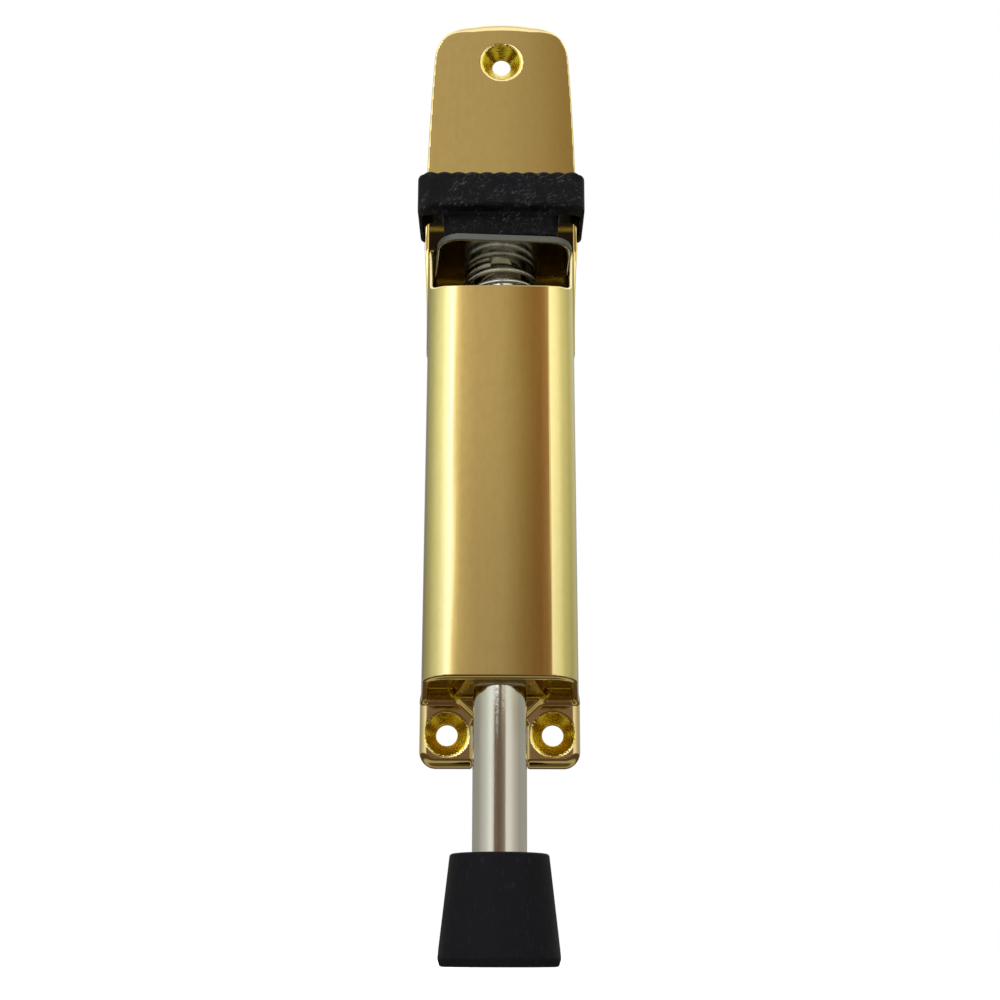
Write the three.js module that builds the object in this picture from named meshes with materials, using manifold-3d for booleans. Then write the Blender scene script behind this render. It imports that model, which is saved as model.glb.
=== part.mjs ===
// Foot-operated door holder: a cast body that is screwed to the foot of a door, a plunger that a foot presses
// down to the floor, and a release plate that grips the rod and lets it spring up again.
//
// Millimetres, seen from the room: +X right, +Y into the door, +Z up. The origin is on the face of the
// door, on the centre line, level with the housing's lower edge. The plunger is drawn extended, held by
// the release plate.

import * as THREE from "three";
import { mergeVertices } from "three/addons/utils/BufferGeometryUtils.js";
import Module from "manifold-3d";

const wasm = await Module();
wasm.setup();

// Driving dimensions

const GAP = 0.3; // clearance kept between pieces that touch or slide
const OVERSHOOT = 1; // how far a cutter runs past the face it opens

const AXIS_Y = -20.5; // plunger axis, in front of the door
const ROD_RADIUS = 6.5;
const ROD_BOTTOM = -49.7;
const ROD_TOP = 119;
const ROD_SIDES = 40;

const HOUSING_TOP = 99.5;
const HOUSING_FOOT_FRONT = 0.3; // lower edge at the front wall
const HOUSING_FOOT_REAR = -1.6; // lower edge where it meets the flange
const FRONT_Y = -32; // middle of the front wall
const FRONT_CROWN = 0.4; // how far the front wall bows out in its middle
const CORNER_RADIUS = 3.4;
const REAR_HALF = 19.85; // half width at the door
const FRONT_HALF = 18.3; // half width at the front corners: the side walls have draft
const TAPER = 0.0002; // per millimetre of height: the housing narrows a little towards its top
const TAPER_FROM = 30; // height at which the half widths above are measured
const WALL = 1.6;
const LOWER_WALL = [2.3, 7]; // end walls, as [bottom, top]
const UPPER_WALL = [87, 92];
const COVER_SEAT_Y = -2.9; // rear faces of the end walls, which the cover rests on
const COVER_SCREW_Z = [4.8, 89.3]; // one screw in each end wall

const TONGUE_THICKNESS = 4;
const TONGUE_TOP = 190;
const TONGUE_BOTTOM = 91.7;
const CHEEK_TOP = 121.4; // where the cheeks run out into the tongue
const CHEEK_HALF = 20.6;
const CHEEK_WALL = 1.1;
const SWELL_FROM = 107.5; // height where the tongue's sides start to widen
const TONGUE_WAIST = { half: 20.3, z: 152 };
const TONGUE_SHOULDER = { half: 18.6, z: 177 };
const TONGUE_CROWN = { half: 18.2, z: 185.5, reach: 14 };

const FLANGE_THICKNESS = 5.3;
const FLANGE_HALF = 20.05;
const FLANGE_BOTTOM = -17.6;
const FLANGE_CORNER = 4;
const NOTCH_HALF = 6.8;
const NOTCH_TOP = -5;
const BOSS_REAR_HALF = 11.5;
const BOSS_FRONT_HALF = 8.6;
const GUSSET_BOTTOM = -10.8;
const GUSSET_PROUD = 1; // how far the gusset stands out of the flange
const POCKET_CORNER = 1.5;

const EAR_HOLE = { x: 13.25, z: -9.4, radius: 2.7, sink: 5.4 };
const TONGUE_HOLE = { x: 0, z: 177.1, radius: 2.5, sink: 5.45 };

const BUSH_OUTER = 7.6;
const BUSH_FLANGE = 9.5;
const BUSH_LIP = 1;
const WASHER_THICKNESS = 1;
const SEAT_THICKNESS = 0.8;

const COVER_THICKNESS = 0.8;
const COVER_CORNER = 2;
const COVER_SCREW = { shank: 1.1, head: 2, crown: 1.4, depth: 1.1, tip: -9.2 };
const COVER_BORE = { radius: 1.4, end: -9.6, clearance: 1.5 };

const RETURN_COLLAR = [43, 47];
// A coil climbs anticlockwise and ends at an angle from +X; some turns at each of its ends lie closed.
const RETURN_SPRING = { radius: 7.9, wire: 1.3, turns: 13, end: 0, closed: 0.8 };
const LOCK_SPRING = { radius: 8.7, wire: 1.2, turns: 4.4, end: 249, closed: 1 };

const RELEASE = {
  thickness: 2,
  halfWidth: 16.85,
  front: 18,
  rear: 14,
  hole: 7,
  corner: 5.6,
  tilt: 9, // degrees, front edge up
  yaw: 4.5, // degrees: the plate sits a little askew on the rod
  z: 105.5, // underside, on the plunger's axis
};
const LUG = { halfWidth: 6, front: -9, bottom: 105.9, top: 108.4 };

const PEDAL = {
  halfWidth: 20.95,
  front: -38.5,
  rear: -15,
  bottom: 118.5,
  top: 126.2,
  corner: 4.5,
  lip: 5.4,
  rim: 1,
  roof: 2.6,
};
const PEDAL_BLOCK = { halfWidth: 14.4, front: -34.2, rear: -5, bottom: 111.6, corner: 2 };
const PEDAL_CORE = { halfWidth: 12, front: -31.8, rear: -7.4, bottom: 111.9, top: 122 };
const RIB = { count: 11, pitch: 3.55, radius: 1.25, sunk: 0.15 };
const RIB_END = 0.8; // how far a rib stops short of the bar's front and rear
const PIN_RADIUS = 1.5;
const PEDAL_PIN_Z = 115.6;

const TIP_BOTTOM = -65;
const TIP_TOP = -39.5;
const TIP_SOCKET_TOP = -50;
const TIP_WEB_BOTTOM = -58;
const TIP_TOP_RADIUS = 11.75;
const TIP_FOOT_RADIUS = 14.4;
const TIP_EDGE = 0.95; // chamfer round its top and its foot
const TIP_RECESS = 7;
const TIP_WASHER = { radius: 6.6, thickness: 1.2 };
const TIP_SCREW = { radius: 2, head: 4, crown: 2.8, depth: 2.4, length: 11 };

// Booleans

function solidOf(geometry) {
  const bare = geometry.clone();
  bare.deleteAttribute("normal");
  bare.deleteAttribute("uv");
  const merged = mergeVertices(bare, 1e-3);
  const mesh = new wasm.Mesh({
    numProp: 3,
    vertProperties: new Float32Array(merged.attributes.position.array),
    triVerts: new Uint32Array(merged.index.array),
  });
  return new wasm.Manifold(mesh);
}

function geometryOf(solid) {
  const mesh = solid.getMesh();
  const geometry = new THREE.BufferGeometry();
  geometry.setAttribute("position", new THREE.BufferAttribute(mesh.vertProperties, 3));
  geometry.setIndex(new THREE.BufferAttribute(mesh.triVerts, 1));
  geometry.computeVertexNormals();
  return geometry;
}

function join(...geometries) {
  return geometryOf(geometries.map(solidOf).reduce((a, b) => a.add(b)));
}

function cut(geometry, ...tools) {
  return geometryOf(tools.map(solidOf).reduce((a, b) => a.subtract(b), solidOf(geometry)));
}

// Shapes

function block(x0, x1, y0, y1, z0, z1) {
  const box = new THREE.BoxGeometry(x1 - x0, y1 - y0, z1 - z0);
  return box.translate((x0 + x1) / 2, (y0 + y1) / 2, (z0 + z1) / 2);
}

// A plan outline, in X and Y, pulled up from z0 to z1.
function column(shape, z0, z1, curveSegments = 8) {
  const options = { depth: z1 - z0, bevelEnabled: false, curveSegments };
  return new THREE.ExtrudeGeometry(shape, options).translate(0, 0, z0);
}

// A front outline, in X and Z, pulled from the rear face yRear towards the room.
function panel(shape, yRear, thickness, curveSegments = 12) {
  const options = { depth: thickness, bevelEnabled: false, curveSegments };
  return new THREE.ExtrudeGeometry(shape, options).rotateX(Math.PI / 2).translate(0, yRear, 0);
}

// A side outline of [y, z] points, pulled across from -halfWidth to halfWidth.
function slab(points, halfWidth) {
  const shape = new THREE.Shape(points.map(([y, z]) => new THREE.Vector2(y, z)));
  const options = { depth: 2 * halfWidth, bevelEnabled: false };
  const turn = new THREE.Matrix4().makeBasis(
    new THREE.Vector3(0, 1, 0),
    new THREE.Vector3(0, 0, 1),
    new THREE.Vector3(1, 0, 0),
  );
  return new THREE.ExtrudeGeometry(shape, options).applyMatrix4(turn).translate(-halfWidth, 0, 0);
}

// A solid of revolution about a vertical line, from [radius, z] points that run up its outside.
function turned(points, sides = ROD_SIDES, x = 0, y = AXIS_Y) {
  const profile = points.map(([r, z]) => new THREE.Vector2(r, z));
  return new THREE.LatheGeometry(profile, sides).rotateX(Math.PI / 2).translate(x, y, 0);
}

function disc(radius, z0, z1, sides = ROD_SIDES) {
  return turned([[0, z0], [radius, z0], [radius, z1], [0, z1]], sides);
}

function ring(inner, outer, z0, z1, sides = ROD_SIDES) {
  return turned([[inner, z0], [outer, z0], [outer, z1], [inner, z1], [inner, z0]], sides);
}

// A pin or a bore along X.
function crossBar(radius, halfLength, z, y = AXIS_Y) {
  const bar = new THREE.CylinderGeometry(radius, radius, 2 * halfLength, 16);
  return bar.rotateZ(Math.PI / 2).translate(0, y, z);
}

// A bar along Y, from [radius, y] points that run from the room towards the door.
function bored(points, x, z, sides = 32) {
  const profile = points.map(([r, y]) => new THREE.Vector2(r, y));
  return new THREE.LatheGeometry(profile, sides).translate(x, 0, z);
}

function roundedRectangle(x0, x1, y0, y1, radius) {
  const shape = new THREE.Shape();
  shape.moveTo(x0 + radius, y0);
  shape.lineTo(x1 - radius, y0);
  shape.absarc(x1 - radius, y0 + radius, radius, -Math.PI / 2, 0);
  shape.lineTo(x1, y1 - radius);
  shape.absarc(x1 - radius, y1 - radius, radius, 0, Math.PI / 2);
  shape.lineTo(x0 + radius, y1);
  shape.absarc(x0 + radius, y1 - radius, radius, Math.PI / 2, Math.PI);
  shape.lineTo(x0, y0 + radius);
  shape.absarc(x0 + radius, y0 + radius, radius, Math.PI, 1.5 * Math.PI);
  return shape;
}

// Cast body

function taperAt(z) {
  return 1 + TAPER * (TAPER_FROM - z);
}

function tapered(geometry) {
  const position = geometry.attributes.position;
  for (let i = 0; i < position.count; i++) {
    position.setX(i, position.getX(i) * taperAt(position.getZ(i)));
  }
  return geometry;
}

// The housing's plan: drafted side walls, round front corners and a slightly bowed front.
function housingPlan(inset, yRear) {
  const radius = CORNER_RADIUS - Math.min(inset, CORNER_RADIUS - 1);
  const slope = (REAR_HALF - FRONT_HALF) / (FRONT_Y + CORNER_RADIUS);
  const halfAt = (y) => REAR_HALF - inset - slope * y;
  const front = FRONT_Y + inset;
  const shoulder = front + FRONT_CROWN;
  const half = halfAt(shoulder + radius);
  const shape = new THREE.Shape();
  shape.moveTo(halfAt(yRear), yRear);
  shape.lineTo(-halfAt(yRear), yRear);
  shape.lineTo(-half, shoulder + radius);
  shape.quadraticCurveTo(-half, shoulder, -half + radius, shoulder);
  shape.quadraticCurveTo(0, front - FRONT_CROWN, half - radius, shoulder);
  shape.quadraticCurveTo(half, shoulder, half, shoulder + radius);
  return shape;
}

function tongueOutline() {
  const shape = new THREE.Shape();
  const foot = REAR_HALF * taperAt(TONGUE_BOTTOM);
  const { half, z, reach } = TONGUE_CROWN;
  const nearTop = TONGUE_TOP - 0.2;
  shape.moveTo(-foot, TONGUE_BOTTOM);
  shape.lineTo(foot, TONGUE_BOTTOM);
  shape.quadraticCurveTo(foot, SWELL_FROM, CHEEK_HALF, CHEEK_TOP);
  shape.quadraticCurveTo(TONGUE_WAIST.half, TONGUE_WAIST.z, TONGUE_SHOULDER.half, TONGUE_SHOULDER.z);
  shape.bezierCurveTo(half, z, reach, nearTop, 0, TONGUE_TOP);
  shape.bezierCurveTo(-reach, nearTop, -half, z, -TONGUE_SHOULDER.half, TONGUE_SHOULDER.z);
  shape.quadraticCurveTo(-TONGUE_WAIST.half, TONGUE_WAIST.z, -CHEEK_HALF, CHEEK_TOP);
  shape.quadraticCurveTo(-foot, SWELL_FROM, -foot, TONGUE_BOTTOM);
  return shape;
}

function flangeOutline() {
  return roundedRectangle(-FLANGE_HALF, FLANGE_HALF, FLANGE_BOTTOM, LOWER_WALL[0], FLANGE_CORNER);
}

// The notch that lets the rod pass between the two ears.
function notchOutline() {
  const shape = new THREE.Shape();
  shape.moveTo(-NOTCH_HALF, FLANGE_BOTTOM - OVERSHOOT);
  shape.lineTo(NOTCH_HALF, FLANGE_BOTTOM - OVERSHOOT);
  shape.lineTo(NOTCH_HALF, NOTCH_TOP - 3);
  shape.quadraticCurveTo(NOTCH_HALF, NOTCH_TOP, 0, NOTCH_TOP);
  shape.quadraticCurveTo(-NOTCH_HALF, NOTCH_TOP, -NOTCH_HALF, NOTCH_TOP - 3);
  return shape;
}

function pocketPlan(side) {
  const edgeY = -FLANGE_THICKNESS;
  const frontY = FRONT_Y + WALL + FRONT_CROWN;
  const points = [
    [BOSS_FRONT_HALF, frontY],
    [FRONT_HALF - WALL - POCKET_CORNER, frontY],
    [FRONT_HALF - WALL, frontY + POCKET_CORNER],
    [REAR_HALF - WALL - GAP, edgeY],
    [BOSS_REAR_HALF, edgeY],
  ];
  return new THREE.Shape(points.map(([x, y]) => new THREE.Vector2(side * x, y)));
}

function countersunkHole(hole, faceY) {
  const profile = [
    [0, faceY - OVERSHOOT],
    [hole.sink + OVERSHOOT, faceY - OVERSHOOT],
    [hole.radius, faceY - OVERSHOOT + hole.sink + OVERSHOOT - hole.radius],
    [hole.radius, OVERSHOOT],
    [0, OVERSHOOT],
  ];
  return bored(profile, hole.x, hole.z);
}

function bodyCasting() {
  const farAbove = CHEEK_TOP + 20;
  const farBelow = FLANGE_BOTTOM - 5;
  const ahead = FRONT_Y - 5;
  const top = [
    [ahead, HOUSING_TOP],
    [FRONT_Y + 3.5, HOUSING_TOP],
    [-TONGUE_THICKNESS - 0.6, CHEEK_TOP - 1.2],
    [-TONGUE_THICKNESS, CHEEK_TOP],
    [-TONGUE_THICKNESS, farAbove],
    [ahead, farAbove],
  ];
  const foot = [
    [ahead, farBelow],
    [-FLANGE_THICKNESS, farBelow],
    [-FLANGE_THICKNESS, HOUSING_FOOT_REAR],
    [FRONT_Y - 0.5, HOUSING_FOOT_FRONT],
    [ahead, HOUSING_FOOT_FRONT],
  ];
  const outside = cut(
    tapered(column(housingPlan(0, 0), HOUSING_FOOT_REAR - OVERSHOOT, CHEEK_TOP)),
    slab(top, CHEEK_HALF + 5),
    slab(foot, CHEEK_HALF + 5),
  );
  const gusset = new THREE.Shape([
    new THREE.Vector2(-BOSS_REAR_HALF, 0),
    new THREE.Vector2(0, GUSSET_BOTTOM),
    new THREE.Vector2(BOSS_REAR_HALF, 0),
  ]);
  const lug = block(
    -LUG.halfWidth, LUG.halfWidth, LUG.front, -TONGUE_THICKNESS / 2, LUG.bottom, LUG.top,
  );
  const cavity = column(housingPlan(WALL, OVERSHOOT), LOWER_WALL[1], UPPER_WALL[0]);
  const rearOpening = block(
    -REAR_HALF + WALL, REAR_HALF - WALL, COVER_SEAT_Y, OVERSHOOT, LOWER_WALL[0], TONGUE_BOTTOM,
  );
  const recess = column(
    housingPlan(CHEEK_WALL, -TONGUE_THICKNESS), UPPER_WALL[1], CHEEK_TOP + OVERSHOOT,
  );
  const underBoss = column(housingPlan(WALL, -FLANGE_THICKNESS), farBelow, 0);
  const shell = cut(outside, cavity, recess, underBoss);
  const whole = join(
    shell,
    panel(tongueOutline(), 0, TONGUE_THICKNESS),
    panel(flangeOutline(), 0, FLANGE_THICKNESS),
    panel(gusset, 0, FLANGE_THICKNESS + GUSSET_PROUD),
    lug,
  );
  return cut(
    whole,
    rearOpening,
    column(pocketPlan(-1), HOUSING_FOOT_REAR - OVERSHOOT, LOWER_WALL[0]),
    column(pocketPlan(1), HOUSING_FOOT_REAR - OVERSHOOT, LOWER_WALL[0]),
    panel(notchOutline(), OVERSHOOT, FLANGE_THICKNESS + GUSSET_PROUD + 2 * OVERSHOOT),
    disc(BUSH_OUTER + GAP, -OVERSHOOT, LOWER_WALL[1] + OVERSHOOT),
    disc(BUSH_OUTER + GAP, UPPER_WALL[0] - OVERSHOOT, UPPER_WALL[1] + OVERSHOOT),
    countersunkHole({ ...EAR_HOLE, x: -EAR_HOLE.x }, -FLANGE_THICKNESS),
    countersunkHole(EAR_HOLE, -FLANGE_THICKNESS),
    countersunkHole(TONGUE_HOLE, -TONGUE_THICKNESS),
    ...COVER_SCREW_Z.map(coverScrewBore),
  );
}

function coverScrewBore(z) {
  const { radius, end } = COVER_BORE;
  return bored([[0, end], [radius, end], [radius, 0], [0, 0]], 0, z, 16);
}

function rearCover() {
  const half = REAR_HALF - WALL - GAP - 0.2;
  const y = COVER_SEAT_Y + GAP;
  const bottom = LOWER_WALL[0] + GAP;
  const shape = roundedRectangle(-half, half, bottom, TONGUE_BOTTOM - GAP, COVER_CORNER);
  const hole = COVER_BORE.clearance;
  const from = y - OVERSHOOT;
  const holes = COVER_SCREW_Z.map((z) =>
    bored([[0, from], [hole, from], [hole, 0], [0, 0]], 0, z, 16),
  );
  return cut(panel(shape, y + COVER_THICKNESS, COVER_THICKNESS), ...holes);
}

function coverScrew(z) {
  const { shank, head, crown, depth, tip } = COVER_SCREW;
  const headY = COVER_SEAT_Y + GAP + COVER_THICKNESS + GAP;
  const profile = [
    [0, tip],
    [shank, tip],
    [shank, headY],
    [head, headY],
    [head, headY + depth - (head - crown)],
    [crown, headY + depth],
    [0, headY + depth],
  ];
  return bored(profile, 0, z, 20);
}

// Guides

function lowerGuideBush() {
  const inner = ROD_RADIUS + GAP;
  const top = LOWER_WALL[1] + GAP;
  return turned([
    [inner, -0.2],
    [BUSH_OUTER - 0.4, -0.2],
    [BUSH_OUTER, 0.3],
    [BUSH_OUTER, top],
    [BUSH_FLANGE, top],
    [BUSH_FLANGE, top + BUSH_LIP],
    [inner, top + BUSH_LIP],
    [inner, -0.2],
  ]);
}

function upperGuideBush() {
  const inner = ROD_RADIUS + GAP;
  const top = UPPER_WALL[1] + GAP;
  return turned([
    [inner, UPPER_WALL[0] - 0.5],
    [BUSH_OUTER, UPPER_WALL[0] - 0.5],
    [BUSH_OUTER, top],
    [BUSH_FLANGE, top],
    [BUSH_FLANGE, top + BUSH_LIP],
    [inner, top + BUSH_LIP],
    [inner, UPPER_WALL[0] - 0.5],
  ]);
}

function lowerSpringWasher() {
  const z = LOWER_WALL[1] + 2 * GAP + BUSH_LIP;
  return ring(ROD_RADIUS + GAP + 0.1, BUSH_FLANGE, z, z + WASHER_THICKNESS);
}

function lockSpringSeat() {
  const z = UPPER_WALL[1] + 2 * GAP + BUSH_LIP;
  return ring(ROD_RADIUS + GAP + 0.1, BUSH_FLANGE, z, z + SEAT_THICKNESS);
}

// Springs

class Helix extends THREE.Curve {
  // heightAt(t, x, y) gives the coil's height, so that its last turn can lie on a tilted face.
  constructor({ radius, turns, end }, heightAt) {
    super();
    this.radius = radius;
    this.turns = turns;
    this.end = THREE.MathUtils.degToRad(end);
    this.heightAt = heightAt;
  }

  getPoint(t, target = new THREE.Vector3()) {
    const angle = this.end - 2 * Math.PI * this.turns * (1 - t);
    const x = this.radius * Math.cos(angle);
    const y = this.radius * Math.sin(angle);
    return target.set(x, AXIS_Y + y, this.heightAt(t, x, y));
  }
}

// The share of its length that a spring with closed ends has risen, t of the way along its wire.
function riseOf(spring, length, t) {
  const { turns, closed } = spring;
  const lie = spring.wire + GAP;
  const pitch = (length - 2 * closed * lie) / (turns - 2 * closed);
  const turn = t * turns;
  const open = THREE.MathUtils.clamp(turn - closed, 0, turns - 2 * closed);
  const shut = Math.min(turn, closed) + Math.max(turn - turns + closed, 0);
  return (open * pitch + shut * lie) / length;
}

function coil(spring, heightAt, stepsPerTurn) {
  const section = new THREE.Shape().absarc(0, 0, spring.wire / 2, 0, 2 * Math.PI);
  return new THREE.ExtrudeGeometry(section, {
    steps: Math.round(spring.turns * stepsPerTurn),
    curveSegments: 3,
    bevelEnabled: false,
    extrudePath: new Helix(spring, heightAt),
  });
}

function returnSpring() {
  const washerTop = LOWER_WALL[1] + 2 * GAP + BUSH_LIP + WASHER_THICKNESS;
  const bottom = washerTop + GAP + RETURN_SPRING.wire / 2;
  const top = RETURN_COLLAR[0] - GAP - RETURN_SPRING.wire / 2;
  const length = top - bottom;
  return coil(RETURN_SPRING, (t) => bottom + length * riseOf(RETURN_SPRING, length, t), 12);
}

function lockSpring() {
  const seatTop = UPPER_WALL[1] + 2 * GAP + BUSH_LIP + SEAT_THICKNESS;
  const bottom = seatTop + GAP + LOCK_SPRING.wire / 2;
  const slope = Math.tan(THREE.MathUtils.degToRad(RELEASE.tilt));
  const yaw = THREE.MathUtils.degToRad(RELEASE.yaw);
  const under = RELEASE.z - 2 * GAP - LOCK_SPRING.wire / 2;
  const heightAt = (t, x, y) => {
    const back = -x * Math.sin(yaw) + y * Math.cos(yaw);
    return bottom + (under - slope * back - bottom) * riseOf(LOCK_SPRING, under - bottom, t);
  };
  return coil(LOCK_SPRING, heightAt, 20);
}

// Plunger

function rod() {
  const blank = turned([
    [0, ROD_BOTTOM],
    [ROD_RADIUS - 0.6, ROD_BOTTOM],
    [ROD_RADIUS, ROD_BOTTOM + 0.6],
    [ROD_RADIUS, ROD_TOP - 0.6],
    [ROD_RADIUS - 0.6, ROD_TOP],
    [0, ROD_TOP],
  ]);
  const collarZ = (RETURN_COLLAR[0] + RETURN_COLLAR[1]) / 2;
  return cut(
    blank,
    disc(TIP_SCREW.radius + GAP, ROD_BOTTOM - OVERSHOOT, ROD_BOTTOM + TIP_SCREW.length + 1, 16),
    crossBar(PIN_RADIUS + GAP, ROD_RADIUS + OVERSHOOT, collarZ),
    crossBar(PIN_RADIUS + GAP, ROD_RADIUS + OVERSHOOT, PEDAL_PIN_Z),
  );
}

function returnSpringCollar() {
  const [z0, z1] = RETURN_COLLAR;
  const blank = ring(ROD_RADIUS + GAP, BUSH_FLANGE, z0, z1);
  return cut(blank, crossBar(PIN_RADIUS + GAP, BUSH_FLANGE + OVERSHOOT, (z0 + z1) / 2));
}

function collarPin() {
  return crossBar(PIN_RADIUS, BUSH_FLANGE + 0.2, (RETURN_COLLAR[0] + RETURN_COLLAR[1]) / 2);
}

function rubberTip() {
  const bore = TIP_SCREW.radius + GAP;
  return turned(
    [
      [ROD_RADIUS + GAP, TIP_TOP],
      [ROD_RADIUS + GAP, TIP_SOCKET_TOP],
      [bore, TIP_SOCKET_TOP],
      [bore, TIP_WEB_BOTTOM],
      [TIP_RECESS, TIP_WEB_BOTTOM],
      [TIP_RECESS, TIP_BOTTOM],
      [TIP_FOOT_RADIUS - TIP_EDGE, TIP_BOTTOM],
      [TIP_FOOT_RADIUS, TIP_BOTTOM + TIP_EDGE],
      [TIP_TOP_RADIUS, TIP_TOP - TIP_EDGE],
      [TIP_TOP_RADIUS - TIP_EDGE, TIP_TOP],
      [ROD_RADIUS + GAP, TIP_TOP],
    ],
    48,
  );
}

function tipWasher() {
  const top = TIP_WEB_BOTTOM - GAP;
  const bore = TIP_SCREW.radius + GAP;
  return ring(bore, TIP_WASHER.radius, top - TIP_WASHER.thickness, top, 32);
}

function tipScrew() {
  const { radius, head, crown, depth, length } = TIP_SCREW;
  const seat = TIP_WEB_BOTTOM - 2 * GAP - TIP_WASHER.thickness;
  return turned(
    [
      [0, seat - depth],
      [crown, seat - depth],
      [head, seat - depth / 2],
      [head, seat],
      [radius, seat],
      [radius, ROD_BOTTOM + length],
      [0, ROD_BOTTOM + length],
    ],
    24,
  );
}

// Pedal

function pedalCore() {
  const { halfWidth, front, rear, bottom, top } = PEDAL_CORE;
  const blank = column(roundedRectangle(-halfWidth, halfWidth, front, rear, 1.5), bottom, top);
  return cut(
    blank,
    disc(ROD_RADIUS + GAP, bottom - OVERSHOOT, ROD_TOP + GAP),
    crossBar(PIN_RADIUS + GAP, halfWidth + OVERSHOOT, PEDAL_PIN_Z),
  );
}

function pedalPin() {
  return crossBar(PIN_RADIUS, PEDAL_CORE.halfWidth - GAP, PEDAL_PIN_Z);
}

// A rib of the tread, from front to back, flush with the rounded ends of the bar.
function treadRib(x) {
  const rib = new THREE.CylinderGeometry(
    RIB.radius, RIB.radius, PEDAL.rear - PEDAL.front - 2 * RIB_END, 12,
  );
  return rib.translate(x, (PEDAL.rear + PEDAL.front) / 2, PEDAL.top - RIB.sunk);
}

function pedalPocket(side) {
  const inner = PEDAL_BLOCK.halfWidth;
  const outer = PEDAL.halfWidth - PEDAL.rim;
  const x = [side * inner, side * outer].sort((a, b) => a - b);
  return block(
    x[0], x[1], PEDAL.front + PEDAL.lip, PEDAL.rear + OVERSHOOT,
    PEDAL.bottom - OVERSHOOT, PEDAL.top - PEDAL.roof,
  );
}

function pedalCover() {
  const { halfWidth, front, rear, bottom, top, corner } = PEDAL;
  const low = PEDAL_BLOCK;
  const bar = column(roundedRectangle(-halfWidth, halfWidth, front, rear, corner), bottom, top);
  const blockPlan = roundedRectangle(
    -low.halfWidth, low.halfWidth, low.front, low.rear, low.corner,
  );
  const ribs = Array.from({ length: RIB.count }, (_, i) =>
    treadRib((i - (RIB.count - 1) / 2) * RIB.pitch),
  );
  const core = PEDAL_CORE;
  const corePocket = column(
    roundedRectangle(
      -core.halfWidth - GAP, core.halfWidth + GAP, core.front - GAP, core.rear + GAP, 1.8,
    ),
    low.bottom - OVERSHOOT,
    core.top + GAP,
  );
  const solid = join(bar, column(blockPlan, low.bottom, top - 0.5), ...ribs);
  return cut(solid, pedalPocket(-1), pedalPocket(1), corePocket);
}

// Release plate

function releasePlate() {
  const { halfWidth, front, rear, corner, hole, thickness } = RELEASE;
  const outline = roundedRectangle(-halfWidth, halfWidth, -front, rear, corner);
  const bore = new THREE.CylinderGeometry(hole, hole, 3 * thickness, 40).rotateX(Math.PI / 2);
  const flat = cut(column(outline, 0, thickness), bore);
  const plate = new THREE.Mesh(flat);
  plate.rotation.set(
    -THREE.MathUtils.degToRad(RELEASE.tilt), 0, THREE.MathUtils.degToRad(RELEASE.yaw), "ZYX",
  );
  plate.position.set(0, AXIS_Y, RELEASE.z);
  plate.updateMatrix();
  return flat.applyMatrix4(plate.matrix);
}

// Finishes

const polishedBrass = { color: 0xc9a65a, roughness: 0.12, metalness: 1 };
const nickel = { color: 0xc4c1bb, roughness: 0.25, metalness: 1 };
const stainless = { color: 0xb9b6ae, roughness: 0.3, metalness: 1 };
const springSteel = { color: 0xa8a6a2, roughness: 0.35, metalness: 1 };
const zincSteel = { color: 0x9d9c98, roughness: 0.5, metalness: 1 };
const blackMoulding = { color: 0x17171a, roughness: 0.55, metalness: 0 };
const blackRubber = { color: 0x141415, roughness: 0.7, metalness: 0 };

function place(group, name, geometry, finish) {
  const mesh = new THREE.Mesh(geometry, new THREE.MeshStandardMaterial(finish));
  mesh.name = name;
  group.add(mesh);
}

const body = new THREE.Group();
place(body, "body_casting", bodyCasting(), polishedBrass);
place(body, "rear_cover", rearCover(), zincSteel);
place(body, "cover_screw_lower", coverScrew(COVER_SCREW_Z[0]), zincSteel);
place(body, "cover_screw_upper", coverScrew(COVER_SCREW_Z[1]), zincSteel);
place(body, "lower_guide_bush", lowerGuideBush(), nickel);
place(body, "upper_guide_bush", upperGuideBush(), nickel);
place(body, "lower_spring_washer", lowerSpringWasher(), zincSteel);
place(body, "lock_spring_seat", lockSpringSeat(), zincSteel);

const clutch = new THREE.Group();
place(clutch, "release_plate", releasePlate(), stainless);
place(clutch, "lock_spring", lockSpring(), springSteel);

const plunger = new THREE.Group();
place(plunger, "rod", rod(), nickel);
place(plunger, "return_spring", returnSpring(), springSteel);
place(plunger, "return_spring_collar", returnSpringCollar(), zincSteel);
place(plunger, "collar_pin", collarPin(), springSteel);
place(plunger, "rubber_tip", rubberTip(), blackRubber);
place(plunger, "tip_washer", tipWasher(), zincSteel);
place(plunger, "tip_screw", tipScrew(), zincSteel);
place(plunger, "pedal_core", pedalCore(), zincSteel);
place(plunger, "pedal_cover", pedalCover(), blackMoulding);
place(plunger, "pedal_pin", pedalPin(), springSteel);

const doorHolder = new THREE.Group();
doorHolder.add(body, clutch, plunger);

export default doorHolder;
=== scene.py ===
"""Looks of a foot-operated door holder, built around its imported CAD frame.

The frame is in metres: +X right, +Y into the door, +Z up. Shapes below are written in millimetres, as
distance fields (negative inside) that are meshed on a grid, or as turned profiles.
"""

import math

import bmesh
import bpy
import numpy as np
from mathutils import Matrix, Vector


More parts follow.
